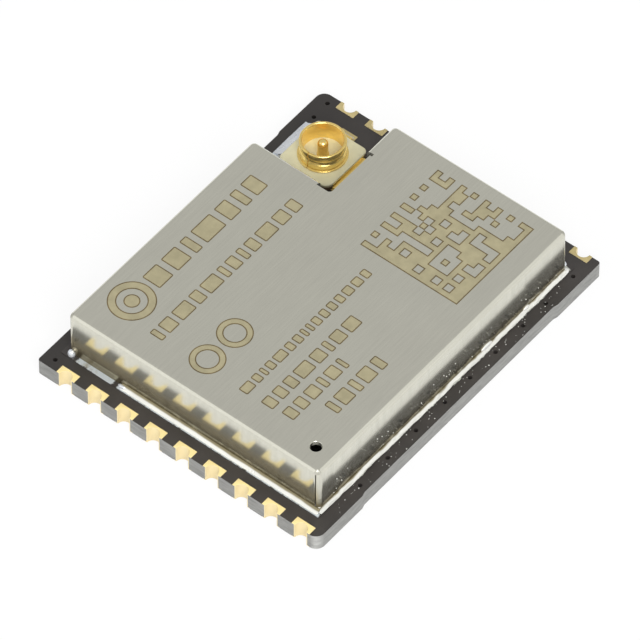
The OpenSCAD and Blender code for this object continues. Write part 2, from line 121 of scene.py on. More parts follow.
class BoardLooks(bpy.types.PropertyGroup):
    """Circuit board and its edge pads."""
    via_d: length("Via", "Diameter of a covered via's dimple", 0.19)
    via_depth: length("Via depth", "Depth of a covered via's dimple", 0.3)
    pad_w: length("Pad width", "Width of an edge pad along the board's edge", 0.9)
    pad_top: length("Top land", "Depth of a pad's land on the top face", 0.39)
    pad_bottom: length("Bottom land", "Depth of a pad's land on the solder face", 0.85)
    hole_d: length("Half hole", "Clear diameter of a pad's half hole", 0.6)
    plating: length("Plating", "Thickness of the plating in the half hole", 0.04)
    land: length("Land", "Thickness of a copper land", 0.03)
    coat: tint("Coat", "Colour of the black coating", (0.042, 0.037, 0.034))
    laminate: tint("Laminate", "Colour of the cut laminate", (0.305, 0.305, 0.292))
    gold: tint("Pad gold", "Colour of the pads' plating", (1.0, 0.82, 0.385))


class ShieldLooks(bpy.types.PropertyGroup):
    """Folded shield can."""
    sheet: length("Sheet", "Thickness of the sheet", 0.2)
    bend: length("Bend", "Outer radius of the bends", 0.26)
    corner: length("Corner", "Outer radius of the upright corners", 0.29)
    slit: length("Slit", "Width of the open slit in each upright corner", 0.042)
    slit_drop: length("Slit drop", "Distance from the top to the start of a slit", 0.2)
    notch_l: length("Notch length", "Length of the notch along X", 4.18)
    notch_w: length("Notch width", "Width of the notch along Y", 3.91)
    tab: length("Tab", "Length of the bent tab on the notch's long-side edge", 1.49)
    relief: length("Relief", "Length left open beside the notch's side wall", 0.7)
    tab_relief: length("Tab relief", "Width of the small relief cut beside the tab", 0.14)
    notch_r: length("Notch corner", "Radius in the notch's inner corner", 0.17)
    lean: length("Lean", "How far the foot of the left wall is bent inwards", 0.014)
    spread: length("Spread", "How far the foot of the near wall is bent outwards", 0.04)
    vent_d: length("Vent", "Diameter of the vent hole", 0.5)
    vent_x: length("Vent from side", "Distance from the vent to the left wall", 1.02)
    vent_y: length("Vent from front", "Distance from the vent to the near wall", 0.93)
    metal: tint("Sheet metal", "Colour of the sheet", (0.67, 0.66, 0.57))
    stain: tint("Flux stain", "Colour of the stain at the foot of the walls", (0.22, 0.185, 0.11))


class SolderLooks(bpy.types.PropertyGroup):
    """Solder seams of the can and of the socket's feet."""
    width: length("Seam width", "Width of a seam at the foot of the can", 0.24)
    height: length("Seam height", "Height of a seam against the wall", 0.24)
    rough: length("Unevenness", "How far the solder's skin wanders", 0.09)
    grain: length("Lump size", "Size of the solder's lumps", 0.55)
    metal: tint("Solder", "Colour of the solder", (0.85, 0.85, 0.79))
    flux: tint("Flux", "Colour of the flux where the solder climbs the wall", (0.27, 0.235, 0.14))


class MarkLooks(bpy.types.PropertyGroup):
    """Plain etched shapes on the can's top."""
    height: length("Height", "How far the marks stand up from the sheet", 0.003)
    outline: length("Outline", "Width of the dark line round a mark", 0.05)
    round: length("Corner", "Radius of the corners of a dash", 0.07)
    cells: IntProperty(
        name="Cells", description="Cells along each side of the square block", default=16)
    fill: tint("Fill", "Colour of the etched fields", (0.44, 0.395, 0.245))
    edge: tint("Edge", "Colour of the line round the etched fields", (0.16, 0.12, 0.055))


class SocketLooks(bpy.types.PropertyGroup):
    """Aerial socket."""
    ring_d: length("Ring", "Outer diameter of the ring", 1.95)
    ring_t: length("Ring wall", "Thickness of the ring's wall", 0.13)
    flange_d: length("Flange", "Diameter of the flange", 2.1)
    flange_t: length("Flange height", "Thickness of the flange", 0.07)
    groove: length("Groove", "Depth of the snap groove", 0.07)
    groove_h: length("Groove height", "Height of the snap groove", 0.3)
    lip: length("Lip", "Height of the lip above the groove", 0.24)
    seam: length("Seam", "Width of the open seam in the ring", 0.04)
    pin_d: length("Pin", "Diameter of the centre pin", 0.45)
    foot_t: length("Feet", "Thickness of the feet", 0.12)
    foot_l: length("Ground foot", "Length of a ground foot", 2.0)
    signal_w: length("Signal foot", "Width of the signal foot", 0.62)
    corner: length("Block corner", "Radius of the block's upright corners", 0.22)
    inner_corner: length(
        "Inner corner", "Radius of the block's corner that faces the notch's corner", 0.38)
    gilt: tint("Gilt", "Colour of the gilt parts", (0.93, 0.695, 0.235))
    cream: tint("Insulator", "Colour of the insulator block", (0.725, 0.69, 0.465))


class StageLooks(bpy.types.PropertyGroup):
    """Floor, lamps and camera."""
    azimuth: angle("Azimuth", "Camera's turn round the object", -51.1566)
    elevation: angle("Elevation", "Camera's height angle", 51.2206)
    roll: angle("Roll", "Camera's roll", 0.1664)
    distance: length("Distance", "Distance from the camera to the object", 376.083)
    aim_right: offset("Aim right", "Aim point's place along the picture's width", -0.2303)
    aim_up: offset("Aim up", "Aim point's place along the picture's height", 0.2745)
    row_y: offset("Row middle", "Place of the pad rows' middle, where the aim starts", -0.28)
    lens: amount("Lens", "Focal length in millimetres on a 36 mm sensor", 530.269)
    floor: length("Floor", "Side of the floor", 4000)
    backdrop: tint("Floor colour", "Colour of the floor", (0.95, 0.95, 0.95))
    sky: amount("Surround", "Strength of the even light all round", 0.55)
    key: amount("Key lamp", "Power of the lamp beside the camera", 1.5)
    front: amount("Front lamp", "Power of the low lamp in front", 0.13)
    side: amount("Side lamp", "Power of the low lamp at the left", 0.22)


GROUPS = {
    "module_board": BoardLooks, "module_shield": ShieldLooks, "module_solder": SolderLooks,
    "module_marks": MarkLooks, "module_socket": SocketLooks, "module_stage": StageLooks,
}


def values_of(group):
    """A group's values by name, with lengths in millimetres and colours as tuples."""
    found = {}
    for name in type(group).__annotations__:
        prop, value = group.bl_rna.properties[name], getattr(group, name)
        if prop.unit == "LENGTH":
            value /= MM
        elif prop.subtype == "COLOR":
            value = tuple(value)
        found[name] = value
    return SimpleNamespace(**found)


# Modelling helpers, all in millimetres

def clear():
    """Object mode with nothing selected."""
    if bpy.context.mode != "OBJECT":
        bpy.ops.object.mode_set(mode="OBJECT")
    bpy.ops.object.select_all(action="DESELECT")


def choose(obj):
    """Makes obj the only selected object, and the active one."""
    clear()
    obj.select_set(True)
    bpy.context.view_layer.objects.active = obj


def settle(obj):
    """Puts an object's place, turn and size into its mesh."""
    choose(obj)
    bpy.ops.object.transform_apply(location=True, rotation=True, scale=True)
    return obj


def named(name):
    """The object that the last operator made, under its own name."""
    obj = bpy.context.view_layer.objects.active
    obj.name = name
    return obj


def added(name):
    """The object that the last operator added, with its place in its mesh."""
    return settle(named(name))


def duplicate(obj, name):
    """A copy of obj with its own mesh."""
    choose(obj)
    bpy.ops.object.duplicate()
    return named(name)


def block(name, low, high, turn=0.0):
    """A block between two corners, turned about its middle by some degrees."""
    low, high = Vector(low), Vector(high)
    clear()
    bpy.ops.mesh.primitive_cube_add(
        size=1, location=(low + high) / 2, rotation=(0, 0, math.radians(turn)), scale=high - low)
    return added(name)


def plate(name, low, high, height, cells=1):
    """A flat sheet between two corners, split into rows of cells."""
    clear()
    bpy.ops.mesh.primitive_grid_add(
        x_subdivisions=cells, y_subdivisions=cells, size=1,
        location=((low[0] + high[0]) / 2, (low[1] + high[1]) / 2, height))
    bpy.ops.transform.resize(value=(high[0] - low[0], high[1] - low[1], 1))
    return added(name)


def rod(name, x, y, low, high, radius, sides=64):
    """An upright round rod."""
    clear()
    bpy.ops.mesh.primitive_cylinder_add(
        vertices=sides, radius=radius, depth=high - low, location=(x, y, (low + high) / 2))
    return added(name)


def edit(obj, kind="FACE", action="DESELECT"):
    """Edit mode on obj with nothing or everything selected."""
    choose(obj)
    bpy.ops.object.mode_set(mode="EDIT")
    bpy.ops.mesh.select_mode(type=kind)
    bpy.ops.mesh.select_all(action=action)


def pick(obj, kind, test):
    """Edit mode on obj with the vertices, edges or faces selected for which the test holds."""
    edit(obj, kind)
    mesh = bmesh.from_edit_mesh(obj.data)
    items = {"VERT": mesh.verts, "EDGE": mesh.edges, "FACE": mesh.faces}[kind]
    found = [item for item in items if test(item)]
    if not found:
        raise RuntimeError(f"nothing was found to select on {obj.name}")
    for item in found:
        item.select_set(True)
    bmesh.update_edit_mesh(obj.data)


def round_off(obj, test, radius, segments=7, **values):
    """Rounds the edges for which the test holds, and leaves obj in edit mode."""
    pick(obj, "EDGE", test)
    bpy.ops.mesh.bevel(offset=radius, segments=segments, clamp_overlap=False, **values)


def modify(obj, kind, **values):
    """Adds a modifier with its values and applies it."""
    choose(obj)
    bpy.ops.object.modifier_add(type=kind)
    modifier = obj.modifiers[-1]
    for key, value in values.items():
        setattr(modifier, key, value)
    bpy.ops.object.modifier_apply(modifier=modifier.name)
    return obj


def combine(obj, others, operation):
    """Cuts the others out of obj, or unites them with it, and removes them."""
    for other in others:
        modify(obj, "BOOLEAN", object=other, operation=operation, solver="EXACT")
        bpy.data.objects.remove(other)


def outward(obj, near=NEAR):
    """Merges doubles and turns the faces outwards."""
    edit(obj, action="SELECT")
    bpy.ops.mesh.remove_doubles(threshold=near)
    bpy.ops.mesh.dissolve_degenerate(threshold=near)
    bpy.ops.mesh.delete_loose()
    bpy.ops.mesh.select_all(action="SELECT")
    bpy.ops.mesh.normals_make_consistent(inside=False)
    clear()
    return obj


def soften(obj, width, segments=2):
    """Rounds the sharp edges."""
    return modify(
        obj, "BEVEL", width=width, segments=segments, limit_method="ANGLE",
        angle_limit=math.radians(40))


def smooth(obj, turn):
    """Smooth shading up to an angle between faces, in degrees."""
    choose(obj)
    bpy.ops.object.shade_smooth_by_angle(angle=math.radians(turn))


def joined(name, objects):
    """Joins objects into one."""
    clear()
    for obj in objects:
        obj.select_set(True)
    bpy.context.view_layer.objects.active = objects[0]
    bpy.ops.object.join()
    return added(name)


def lathe(name, points, x, y, steps=96):
    """Turns a profile of (radius, height) points about the upright axis at x, y."""
    clear()
    bpy.ops.mesh.primitive_plane_add(size=0.1)
    obj = bpy.context.view_layer.objects.active
    edit(obj, "VERT", "SELECT")
    bpy.ops.mesh.merge(type="CENTER")
    spots = [Vector((x + r, y, z)) for r, z in points]
    bpy.ops.transform.translate(value=spots[0])
    for before, after in zip(spots, spots[1:]):
        bpy.ops.mesh.extrude_region_move(TRANSFORM_OT_translate={"value": after - before})
    # A profile with both ends on the axis closes itself
    if points[0][0] > FINE or points[-1][0] > FINE:
        mesh = bmesh.from_edit_mesh(obj.data)
        for vert in mesh.verts:
            vert.select_set(any((vert.co - spots[i]).length < FINE for i in (0, -1)))
        mesh.select_flush_mode()
        bmesh.update_edit_mesh(obj.data)
        bpy.ops.mesh.edge_face_add()
    bpy.ops.mesh.select_all(action="SELECT")
    bpy.ops.mesh.spin(steps=steps, angle=2 * math.pi, center=(x, y, 0), axis=(0, 0, 1))
    bpy.ops.object.mode_set(mode="OBJECT")
    return outward(added(name), FINE)


def arc(cx, cz, radius, start, end, steps):
    """Points on an arc, with angles in degrees from the outward direction."""
    angles = [math.radians(start + (end - start) * i / steps) for i in range(steps + 1)]
    return [(cx + radius * math.cos(a), cz + radius * math.sin(a)) for a in angles]


def uneven(obj, strength, size, seed):
    """Pushes a mesh's skin in and out by a fixed cloud pattern, at a place set by the seed."""
    texture = bpy.data.textures.new("lumps", "CLOUDS")
    texture.noise_scale = size
    texture.noise_depth = 2
    choose(obj)
    bpy.ops.transform.translate(value=(seed, 2 * seed, 0))
    settle(obj)
    modify(
        obj, "DISPLACE", texture=texture, strength=strength, mid_level=0.5, texture_coords="LOCAL")
    choose(obj)
    bpy.ops.transform.translate(value=(-seed, -2 * seed, 0))
    settle(obj)
    bpy.data.textures.remove(texture)
    return obj


def finish_piece(obj, finish=None, replaced=None):
    """Brings a piece to metres, gives it its finish and sets it on the module."""
    obj.scale = (MM, MM, MM)
    settle(obj)
    if finish:
        obj.data.materials.append(finish_of(finish))
    clear()
    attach(obj, ROOT)
    if replaced:
        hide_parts(replaced)


# Finishes

def shade(colour, *factors):
    """A colour made lighter or darker, by one factor or by one each for red, green and blue."""
    if len(factors) == 1:
        factors *= 3
    return tuple(min(1.0, c * f) for c, f in zip(colour, factors))


class Nodes:
    """Small helper around one material's node tree."""

    def __init__(self, name, colour, metallic, roughness):
        self.material = bpy.data.materials.new(name)
        self.material.use_nodes = True
        self.material.diffuse_color = (*colour, 1)
        self.tree = self.material.node_tree
        self.shader = self.tree.nodes["Principled BSDF"]
        self.coordinates = None
        self.feed(self.shader, {
            "Base Color": (*colour, 1), "Metallic": metallic, "Roughness": roughness})

    def feed(self, node, inputs):
        """Sets a node's inputs, each to a value or to another node's output."""
        for key, value in inputs.items():
            if isinstance(value, bpy.types.NodeSocket):
                self.tree.links.new(value, node.inputs[key])
            else:
                node.inputs[key].default_value = value

    def node(self, kind, inputs=None, **values):
        """A new node with its settings and inputs."""
        made = self.tree.nodes.new(kind)
        for key, value in values.items():
            setattr(made, key, value)
        self.feed(made, inputs or {})
        return made

    def drive(self, name, output):
        """Gives one of the shader's inputs a value or another node's output."""
        self.feed(self.shader, {name: output})

    def source(self, output):
        """An output of the material's one coordinate node."""
        self.coordinates = self.coordinates or self.node("ShaderNodeTexCoord")
        return self.coordinates.outputs[output]

    def noise(self, scale, detail=3.0, rough=0.55, stretch=(1, 1, 1)):
        """Noise on Object coordinates; scale counts features a millimetre."""
        mapping = self.node("ShaderNodeMapping", {
            "Vector": self.source("Object"), "Scale": [s / MM for s in stretch]})
        return self.node("ShaderNodeTexNoise", {
            "Vector": mapping.outputs["Vector"], "Scale": scale, "Detail": detail,
            "Roughness": rough}).outputs["Fac"]

    def span(self, value, low, high, to_low=0.0, to_high=1.0):
        """Maps a value from one span to another, clamped."""
        return self.node("ShaderNodeMapRange", {
            "Value": value, "From Min": low, "From Max": high, "To Min": to_low,
            "To Max": to_high}).outputs["Result"]

    def inverse(self, mask):
        """One where a mask is zero and the other way round."""
        return self.span(mask, 0.0, 1.0, 1.0, 0.0)

    def maths(self, operation, *values):
        """The result of an operation on outputs and numbers."""
        return self.node("ShaderNodeMath", dict(enumerate(values)), operation=operation).outputs[0]

    def times(self, product, *others):
        """The product of some outputs."""
        for other in others:
            product = self.maths("MULTIPLY", product, other)
        return product

    def axis(self, output, name):
        """One axis of the Object coordinates or of the Normal."""
        return self.node("ShaderNodeSeparateXYZ", {"Vector": self.source(output)}).outputs[name]

    def along(self, place, low, high, *to):
        """A mask along an axis, given by name or as an output, with its ends in millimetres."""
        place = self.axis("Object", place) if isinstance(place, str) else place
        return self.span(place, low * MM, high * MM, *to)

    def beyond(self, name, low, high, *to):
        """A mask by the distance from the part's middle along an axis, in millimetres."""
        return self.along(self.maths("ABSOLUTE", self.axis("Object", name)), low, high, *to)

    def facing(self, name, low, high, *to):
        """A mask by how far the surface faces along an axis."""
        return self.span(self.axis("Normal", name), low, high, *to)

    def tilt(self, name):
        """How far the surface faces along an axis, either way."""
        return self.maths("ABSOLUTE", self.axis("Normal", name))

    def blend(self, factor, *colours):
        """Mixes two colours, each a tuple or an output."""
        a, b = ((*c, 1) if isinstance(c, tuple) else c for c in colours)
        node = self.node("ShaderNodeMix", {"Factor": factor, 6: a, 7: b}, data_type="RGBA")
        return node.outputs[2]

    def vary(self, noise, colour, low, high):
        """A colour that wanders between two of its shades."""
        return self.blend(self.span(noise, *USUAL), shade(colour, low), shade(colour, high))

    def bump(self, height, depth):
        """Fine bumps with a depth in millimetres."""
        node = self.node("ShaderNodeBump", {
            "Strength": 1.0, "Distance": depth * MM, "Height": height})
        self.drive("Normal", node.outputs["Normal"])

    def skin(self, grain, low, high, depth):
        """Gloss and bumps that follow one grain; returns the finished material."""
        self.drive("Roughness", self.span(grain, *USUAL, low, high))
        self.bump(grain, depth)
        return self.material


def plain_finish(name, colour, metallic, roughness, scale, vary=0.12, depth=0.002, spread=0.1,
                 stretch=(1, 1, 1)):
    """A finish with grain in its colour, gloss and surface."""
    nodes = Nodes(name, colour, metallic, roughness)
    grain, broad = nodes.noise(scale, 4.0, 0.6, stretch), nodes.noise(scale / 6, 2.0)
    nodes.drive("Base Color", nodes.vary(broad, colour, 1 - vary, 1 + vary))
    return nodes.skin(grain, max(0.03, roughness - spread), min(1.0, roughness + spread), depth)


def sheet_finish(looks):
    """Brushed sheet, duller at the bent corners and with painted shade on the rounded top corners
    at its ends, with a flux stain at the foot of the walls.
    """
    colour = looks.metal
    nodes = Nodes("shield_sheet", colour, 0.88, 0.2)
    rise, across = nodes.axis("Normal", "Z"), nodes.tilt("Y")
    brush = nodes.noise(14.0, 4.0, 0.65, (0.05, 1, 1))
    lines = nodes.span(brush, 0.25, 0.75)
    clean = nodes.blend(
        nodes.span(nodes.noise(0.5, 2.0), *USUAL),
        nodes.blend(lines, shade(colour, 0.94), shade(colour, 1.03)),
        nodes.blend(lines, shade(colour, 0.97), shade(colour, 1.06)))
    wall = nodes.span(rise, 0.2, 0.6, 1.0, 0.0)
    streak = nodes.span(nodes.noise(5.0, 4.0, 0.7, (1, 1, 0.06)), 0.35, 0.62, 1.0, 0.0)
    drawn = nodes.blend(nodes.times(wall, streak), clean, shade(colour, 0.92))
    # The lower part of the left wall is tinted warmer.
    left = nodes.times(
        nodes.facing("X", -0.9, -0.5, 1.0, 0.0), nodes.along("Z", 1.6, 2.2, 0.8, 0.0))
    warm_low_left = nodes.blend(left, drawn, shade(colour, 0.98, 0.86, 0.62))
    spots = nodes.times(
        wall, nodes.span(nodes.noise(3.2, 4.0, 0.65), 0.54, 0.66),
        nodes.along("Z", 1.2, 2.1, 0.7, 0.0))
    dirty = nodes.blend(spots, warm_low_left, shade(looks.stain, 0.8))
    foot = nodes.times(
        nodes.along("Z", 1.1, 1.5, 1.0, 0.0), nodes.span(nodes.noise(2.2, 4.0, 0.6), 0.22, 0.46))
    stained = nodes.blend(foot, dirty, looks.stain)
    turned = nodes.times(nodes.tilt("X"), across)
    corner = nodes.span(turned, 0.1, 0.4)
    # Painted shade: the rounded top corners at the can's ends are darker, which damps their
    # highlight.
    tip = nodes.times(
        nodes.span(nodes.times(turned, rise), 0.05, 0.15), nodes.beyond("X", 7.3, 7.4))
    nodes.drive("Base Color", nodes.blend(tip, stained, shade(colour, 0.72)))
    nodes.drive("Metallic", nodes.times(
        nodes.span(wall, 0.0, 1.0, 0.88, 0.82), nodes.span(across, 0.3, 0.9, 1.0, 1.1),
        nodes.span(corner, 0.0, 1.0, 1.0, 0.65)))
    up = nodes.span(rise, 0.75, 0.98)
    bent = nodes.times(
        nodes.span(corner, 0.0, 1.0, 0.14, 0.4), nodes.span(tip, 0.0, 1.0, 1.0, 2.3))
    gloss = nodes.node("ShaderNodeMix", {
        "Factor": up, "A": bent, "B": nodes.span(brush, *USUAL, 0.16, 0.26)})
    nodes.drive("Roughness", gloss.outputs["Result"])
    nodes.bump(nodes.times(brush, up), 0.0012)
    return nodes.material


def seam_finish(looks):
    """Bright solder, brown with flux where it climbs the wall."""
    nodes = Nodes("seam_solder", looks.metal, 0.6, 0.2)
    clean = nodes.vary(nodes.noise(0.7, 2.0), looks.metal, 0.92, 1.06)
    nodes.drive("Base Color", nodes.blend(nodes.along("Z", 0.925, 0.97), clean, looks.flux))
    return nodes.skin(nodes.noise(4.0, 4.0, 0.6), 0.14, 0.28, 0.0012)


def board_finish(looks):
    """Black coating on the faces and bare laminate on the cut edges, with painted shade on the far
    coating and the left edge.
    """
    coat, laminate = looks.coat, looks.laminate
    nodes = Nodes("board_coat", coat, 0.0, 0.42)
    inside = nodes.times(
        nodes.beyond("X", 8.72, 8.76, 1.0, 0.0), nodes.beyond("Y", 7.0, 7.03, 1.0, 0.0))
    face = nodes.maths("MAXIMUM", nodes.span(nodes.tilt("Z"), 0.4, 0.6), inside)
    layers = nodes.noise(4.0, 4.0, 0.7, (0.35, 0.35, 2.0))
    left = nodes.along("X", -8.9, -8.6, 1.0, 0.0)
    # Painted shade: the laminate of the left edge is a little darker than that of the near edge.
    edge = nodes.blend(
        left, nodes.vary(layers, laminate, 0.7, 1.05), nodes.vary(layers, laminate, 0.64, 1.02))
    corner = nodes.times(left, nodes.along("Y", -6.95, -6.75, 1.0, 0.0))
    edge = nodes.blend(corner, edge, nodes.vary(layers, laminate, 1.0, 1.75))
    top = nodes.vary(nodes.noise(0.8), coat, 0.85, 1.2)
    # Painted shade: the coating is darker towards the far side.
    top = nodes.blend(nodes.along("Y", 4.0, 6.2), top, shade(coat, 0.72))
    nodes.drive("Base Color", nodes.blend(face, edge, top))
    nodes.drive("Roughness", nodes.span(face, 0.0, 1.0, 0.75, 0.42))
    nodes.bump(nodes.noise(7.0, 4.0, 0.6), 0.004)
    return nodes.material


def pad_finish(looks):
    """Bright gold plating, with painted shade towards the far side and in the half holes."""
    gold = looks.gold
    nodes = Nodes("pad_gold", gold, 0.12, 0.35)
    grain = nodes.noise(2.5, 3.0, 0.5)
    # Painted shade: the gold is darker towards the far side.
    lit = nodes.blend(
        nodes.along("X", -7, 7), nodes.vary(grain, gold, 0.96, 1.02),
        nodes.vary(grain, gold, 0.48, 0.56))
    # Painted shade in the half holes: their gold is darker and a little greyer.
    nodes.drive("Base Color", nodes.blend(
        nodes.facing("Z", 0.2, 0.9), shade(gold, 0.8, 0.82, 1.0), lit))
    return nodes.skin(grain, 0.3, 0.4, 0.0008)


def housing_finish(looks):
    """Moulded cream polymer, brown at the foot of its sides with flux and painted shade."""
    nodes = Nodes("cream_insulator", looks.cream, 0.0, 0.5)
    grain = nodes.noise(4.0, 4.0, 0.6)
    clean = nodes.vary(grain, looks.cream, 0.96, 1.04)
    # Flux and painted shade: the block turns dark brown towards the foot of its sides.
    nodes.drive("Base Color", nodes.blend(
        nodes.along("Z", 0.98, 1.12, 1.0, 0.0), clean, (0.10, 0.065, 0.03)))
    return nodes.skin(grain, 0.42, 0.58, 0.002)


def land_finish(coat):
    """Tinned track; the coating laps raggedly over its borders, two ends and a spot at the left."""
    tin, cool_tin, dull_tin = (0.74, 0.76, 0.69), (0.68, 0.74, 0.78), (0.45, 0.45, 0.4)
    nodes = Nodes("tinned_land", tin, 0.4, 0.36)
    ragged, grain = nodes.noise(3.0, 5.0, 0.7), nodes.noise(3.0, 4.0, 0.6)
    x, y = (
        nodes.maths("MULTIPLY_ADD", ragged, 0.4 * MM, nodes.axis("Object", name)) for name in "XY")
    left = nodes.along("X", -7.75, -7.7, 1.0, 0.0)
    far_end = nodes.times(nodes.along("X", -7.45, -7.4, 1.0, 0.0), nodes.along(y, 6.05, 6.12))
    near_end = nodes.times(nodes.along("Y", -5.9, -5.85, 1.0, 0.0), nodes.along(x, 8.1, 8.15))
    lap = nodes.times(
        left, nodes.times(nodes.along(y, 3.98, 4.04), nodes.along(y, 4.24, 4.3, 1.0, 0.0)))
    bare = nodes.times(
        nodes.times(nodes.along(x, -7.99, -7.93), nodes.along(y, -6.28, -6.23)),
        nodes.times(nodes.inverse(far_end), nodes.inverse(near_end)), nodes.inverse(lap))
    mottled = nodes.blend(nodes.span(grain, 0.3, 0.5), dull_tin, nodes.blend(left, tin, cool_tin))
    nodes.drive("Base Color", nodes.blend(bare, coat, mottled))
    nodes.drive("Metallic", nodes.span(bare, 0.0, 1.0, 0.0, 0.4))
    return nodes.skin(grain, 0.28, 0.44, 0.001)


def socket_land_finish(gold):
    """Gold lands with painted shade, tinned over at the far foot."""
    nodes = Nodes("socket_land", gold, 0.4, 0.36)
    grain = nodes.noise(3.0, 4.0, 0.6)
    # Painted shade: the lands' gold is darker, as on the far pads.
    bare = nodes.vary(grain, gold, 0.5, 0.58)
    nodes.drive("Base Color", nodes.blend(nodes.along("Y", 5.9, 6.1), bare, (0.76, 0.80, 0.84)))
    return nodes.skin(grain, 0.3, 0.44, 0.001)


# Plain finishes: colour, metallic, roughness and grain, then what differs from the usual
PLAIN = {
    "solder_speck": ((0.9, 0.9, 0.86), 0.3, 0.3, 4.0, 0.05, 0.001),
    "foot_solder": ((0.76, 0.79, 0.83), 0.5, 0.28, 2.0, 0.1, 0.002),
    "chip_black": ((0.03, 0.03, 0.032), 0.0, 0.55, 14.0, 0.15, 0.004),
    "lead_tin": ((0.7, 0.7, 0.68), 0.95, 0.3, 8.0, 0.08, 0.002),
    "dark_ceramic": ((0.25, 0.22, 0.2), 0.0, 0.5, 10.0),
    "lid_metal": ((0.72, 0.7, 0.62), 1.0, 0.25, 8.0, 0.04, 0.001, 0.08, (0.1, 1, 1)),
    "tan_ceramic": ((0.5, 0.36, 0.22), 0.0, 0.45, 10.0),
    "black_ceramic": ((0.03, 0.03, 0.035), 0.0, 0.3, 10.0),
    "pale_ceramic": ((0.72, 0.76, 0.8), 0.0, 0.4, 10.0),
}
FINISHES = {}


def make_finishes(scene):
    """All finishes by name."""
    board, shield, solder, marks, socket, _ = (values_of(getattr(scene, name)) for name in GROUPS)
    plain = {
        **PLAIN,
        "socket_gilt": (socket.gilt, 0.86, 0.23, 8.0, 0.04, 0.0003, 0.04),
        "mark_fill": (marks.fill, 0.35, 0.5, 12.0, 0.1, 0.003),
        "mark_edge": (marks.edge, 0.25, 0.5, 12.0, 0.25, 0.003),
    }
    return {
        **{name: plain_finish(name, *values) for name, values in plain.items()},
        "board_coat": board_finish(board),
        "pad_gold": pad_finish(board),
        "shield_sheet": sheet_finish(shield),
        "seam_solder": seam_finish(solder),
        "tinned_land": land_finish(board.coat),
        "socket_land": socket_land_finish(board.gold),
        "cream_insulator": housing_finish(socket),
    }


def finish_of(name):
    """A finish by name; the set is made when the first piece asks for it."""
    if not FINISHES:
        FINISHES.update(make_finishes(bpy.context.scene))
    return FINISHES[name]


# Operators

class MODULE_OT_board(bpy.types.Operator):
    """Circuit board with dimples where its covered vias are"""
    bl_idname = "module.board"
    bl_label = "Circuit Board"

    VIAS = (
        (-8.56, 6.60), (8.58, 6.57), (7.67, 6.54), (7.74, -6.73), (5.97, -6.73), (4.50, -6.74),
        (2.75, -6.72), (1.10, -6.74), (-0.50, -6.73), (-2.33, -6.73), (-4.10, -6.72),
        (-5.85, -6.74),
    )

    def execute(self, context):
        looks = values_of(context.scene.module_board)
        board = duplicate(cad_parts["circuit_board"], "board")
        board.parent = None
        for key in list(board.keys()):
            del board[key]
        board.data.materials.clear()
        bpy.ops.mesh.customdata_custom_splitnormals_clear()
        board.scale = (1 / MM, 1 / MM, 1 / MM)
        settle(board)
        outward(board)
        edit(board, action="SELECT")
        bpy.ops.mesh.dissolve_limited(angle_limit=math.radians(0.2))
        low, high = BOARD_HIGH.z - looks.via_depth, BOARD_HIGH.z + looks.via_depth
        dimples = [rod("dimple", x, y, low, high, looks.via_d / 2, 24) for x, y in self.VIAS]
        combine(board, [joined("dimples", dimples)], "DIFFERENCE")
        outward(board)
        smooth(board, 30)
        finish_piece(board, "board_coat", "circuit_board")
        return {"FINISHED"}


class MODULE_OT_edge_pads(bpy.types.Operator):
    """Plated edge pads, one modelled and the others copied from it"""
    bl_idname = "module.edge_pads"
    bl_label = "Edge Pads"

    def execute(self, context):
        looks = values_of(context.scene.module_board)
        half, hole, top = looks.pad_w / 2, looks.hole_d / 2, BOARD_HIGH.z
        pad = block("pad", (-looks.pad_top, -half, top), (0, half, top + looks.land))
        lower = block("lower", (-looks.pad_bottom, -half, 0), (0, half, looks.land))
        barrel = rod("barrel", 0, 0, 0, top + looks.land, hole + looks.plating)
        combine(barrel, [block("half", (0, -1, -1), (1, 1, 2))], "DIFFERENCE")
        combine(pad, [barrel, lower], "UNION")
        combine(pad, [rod("hole", 0, 0, -1, 2, hole)], "DIFFERENCE")
        soften(pad, 0.008)
        outward(pad, FINE)
        for name in PAD_NAMES:
            low, high = node_box(name)
            side = 1 if low.x > 0 else -1
            copy = duplicate(pad, name.replace("edge_pad", "pad"))
            copy.rotation_euler.z = 0 if side > 0 else math.pi
            copy.location = (side * max(abs(low.x), abs(high.x)), (low.y + high.y) / 2, 0)
            settle(copy)
            smooth(copy, 30)
            finish_piece(copy, "pad_gold", name)
        bpy.data.objects.remove(pad)
        return {"FINISHED"}


def notch_corner(shield):
    """Place of the notch's inner corner, and where the tab beside it starts."""
    notch_x, notch_y = CAN_HIGH.x - shield.notch_l, CAN_HIGH.y - shield.notch_w
    return notch_x, notch_y, CAN_HIGH.x - shield.corner - shield.tab


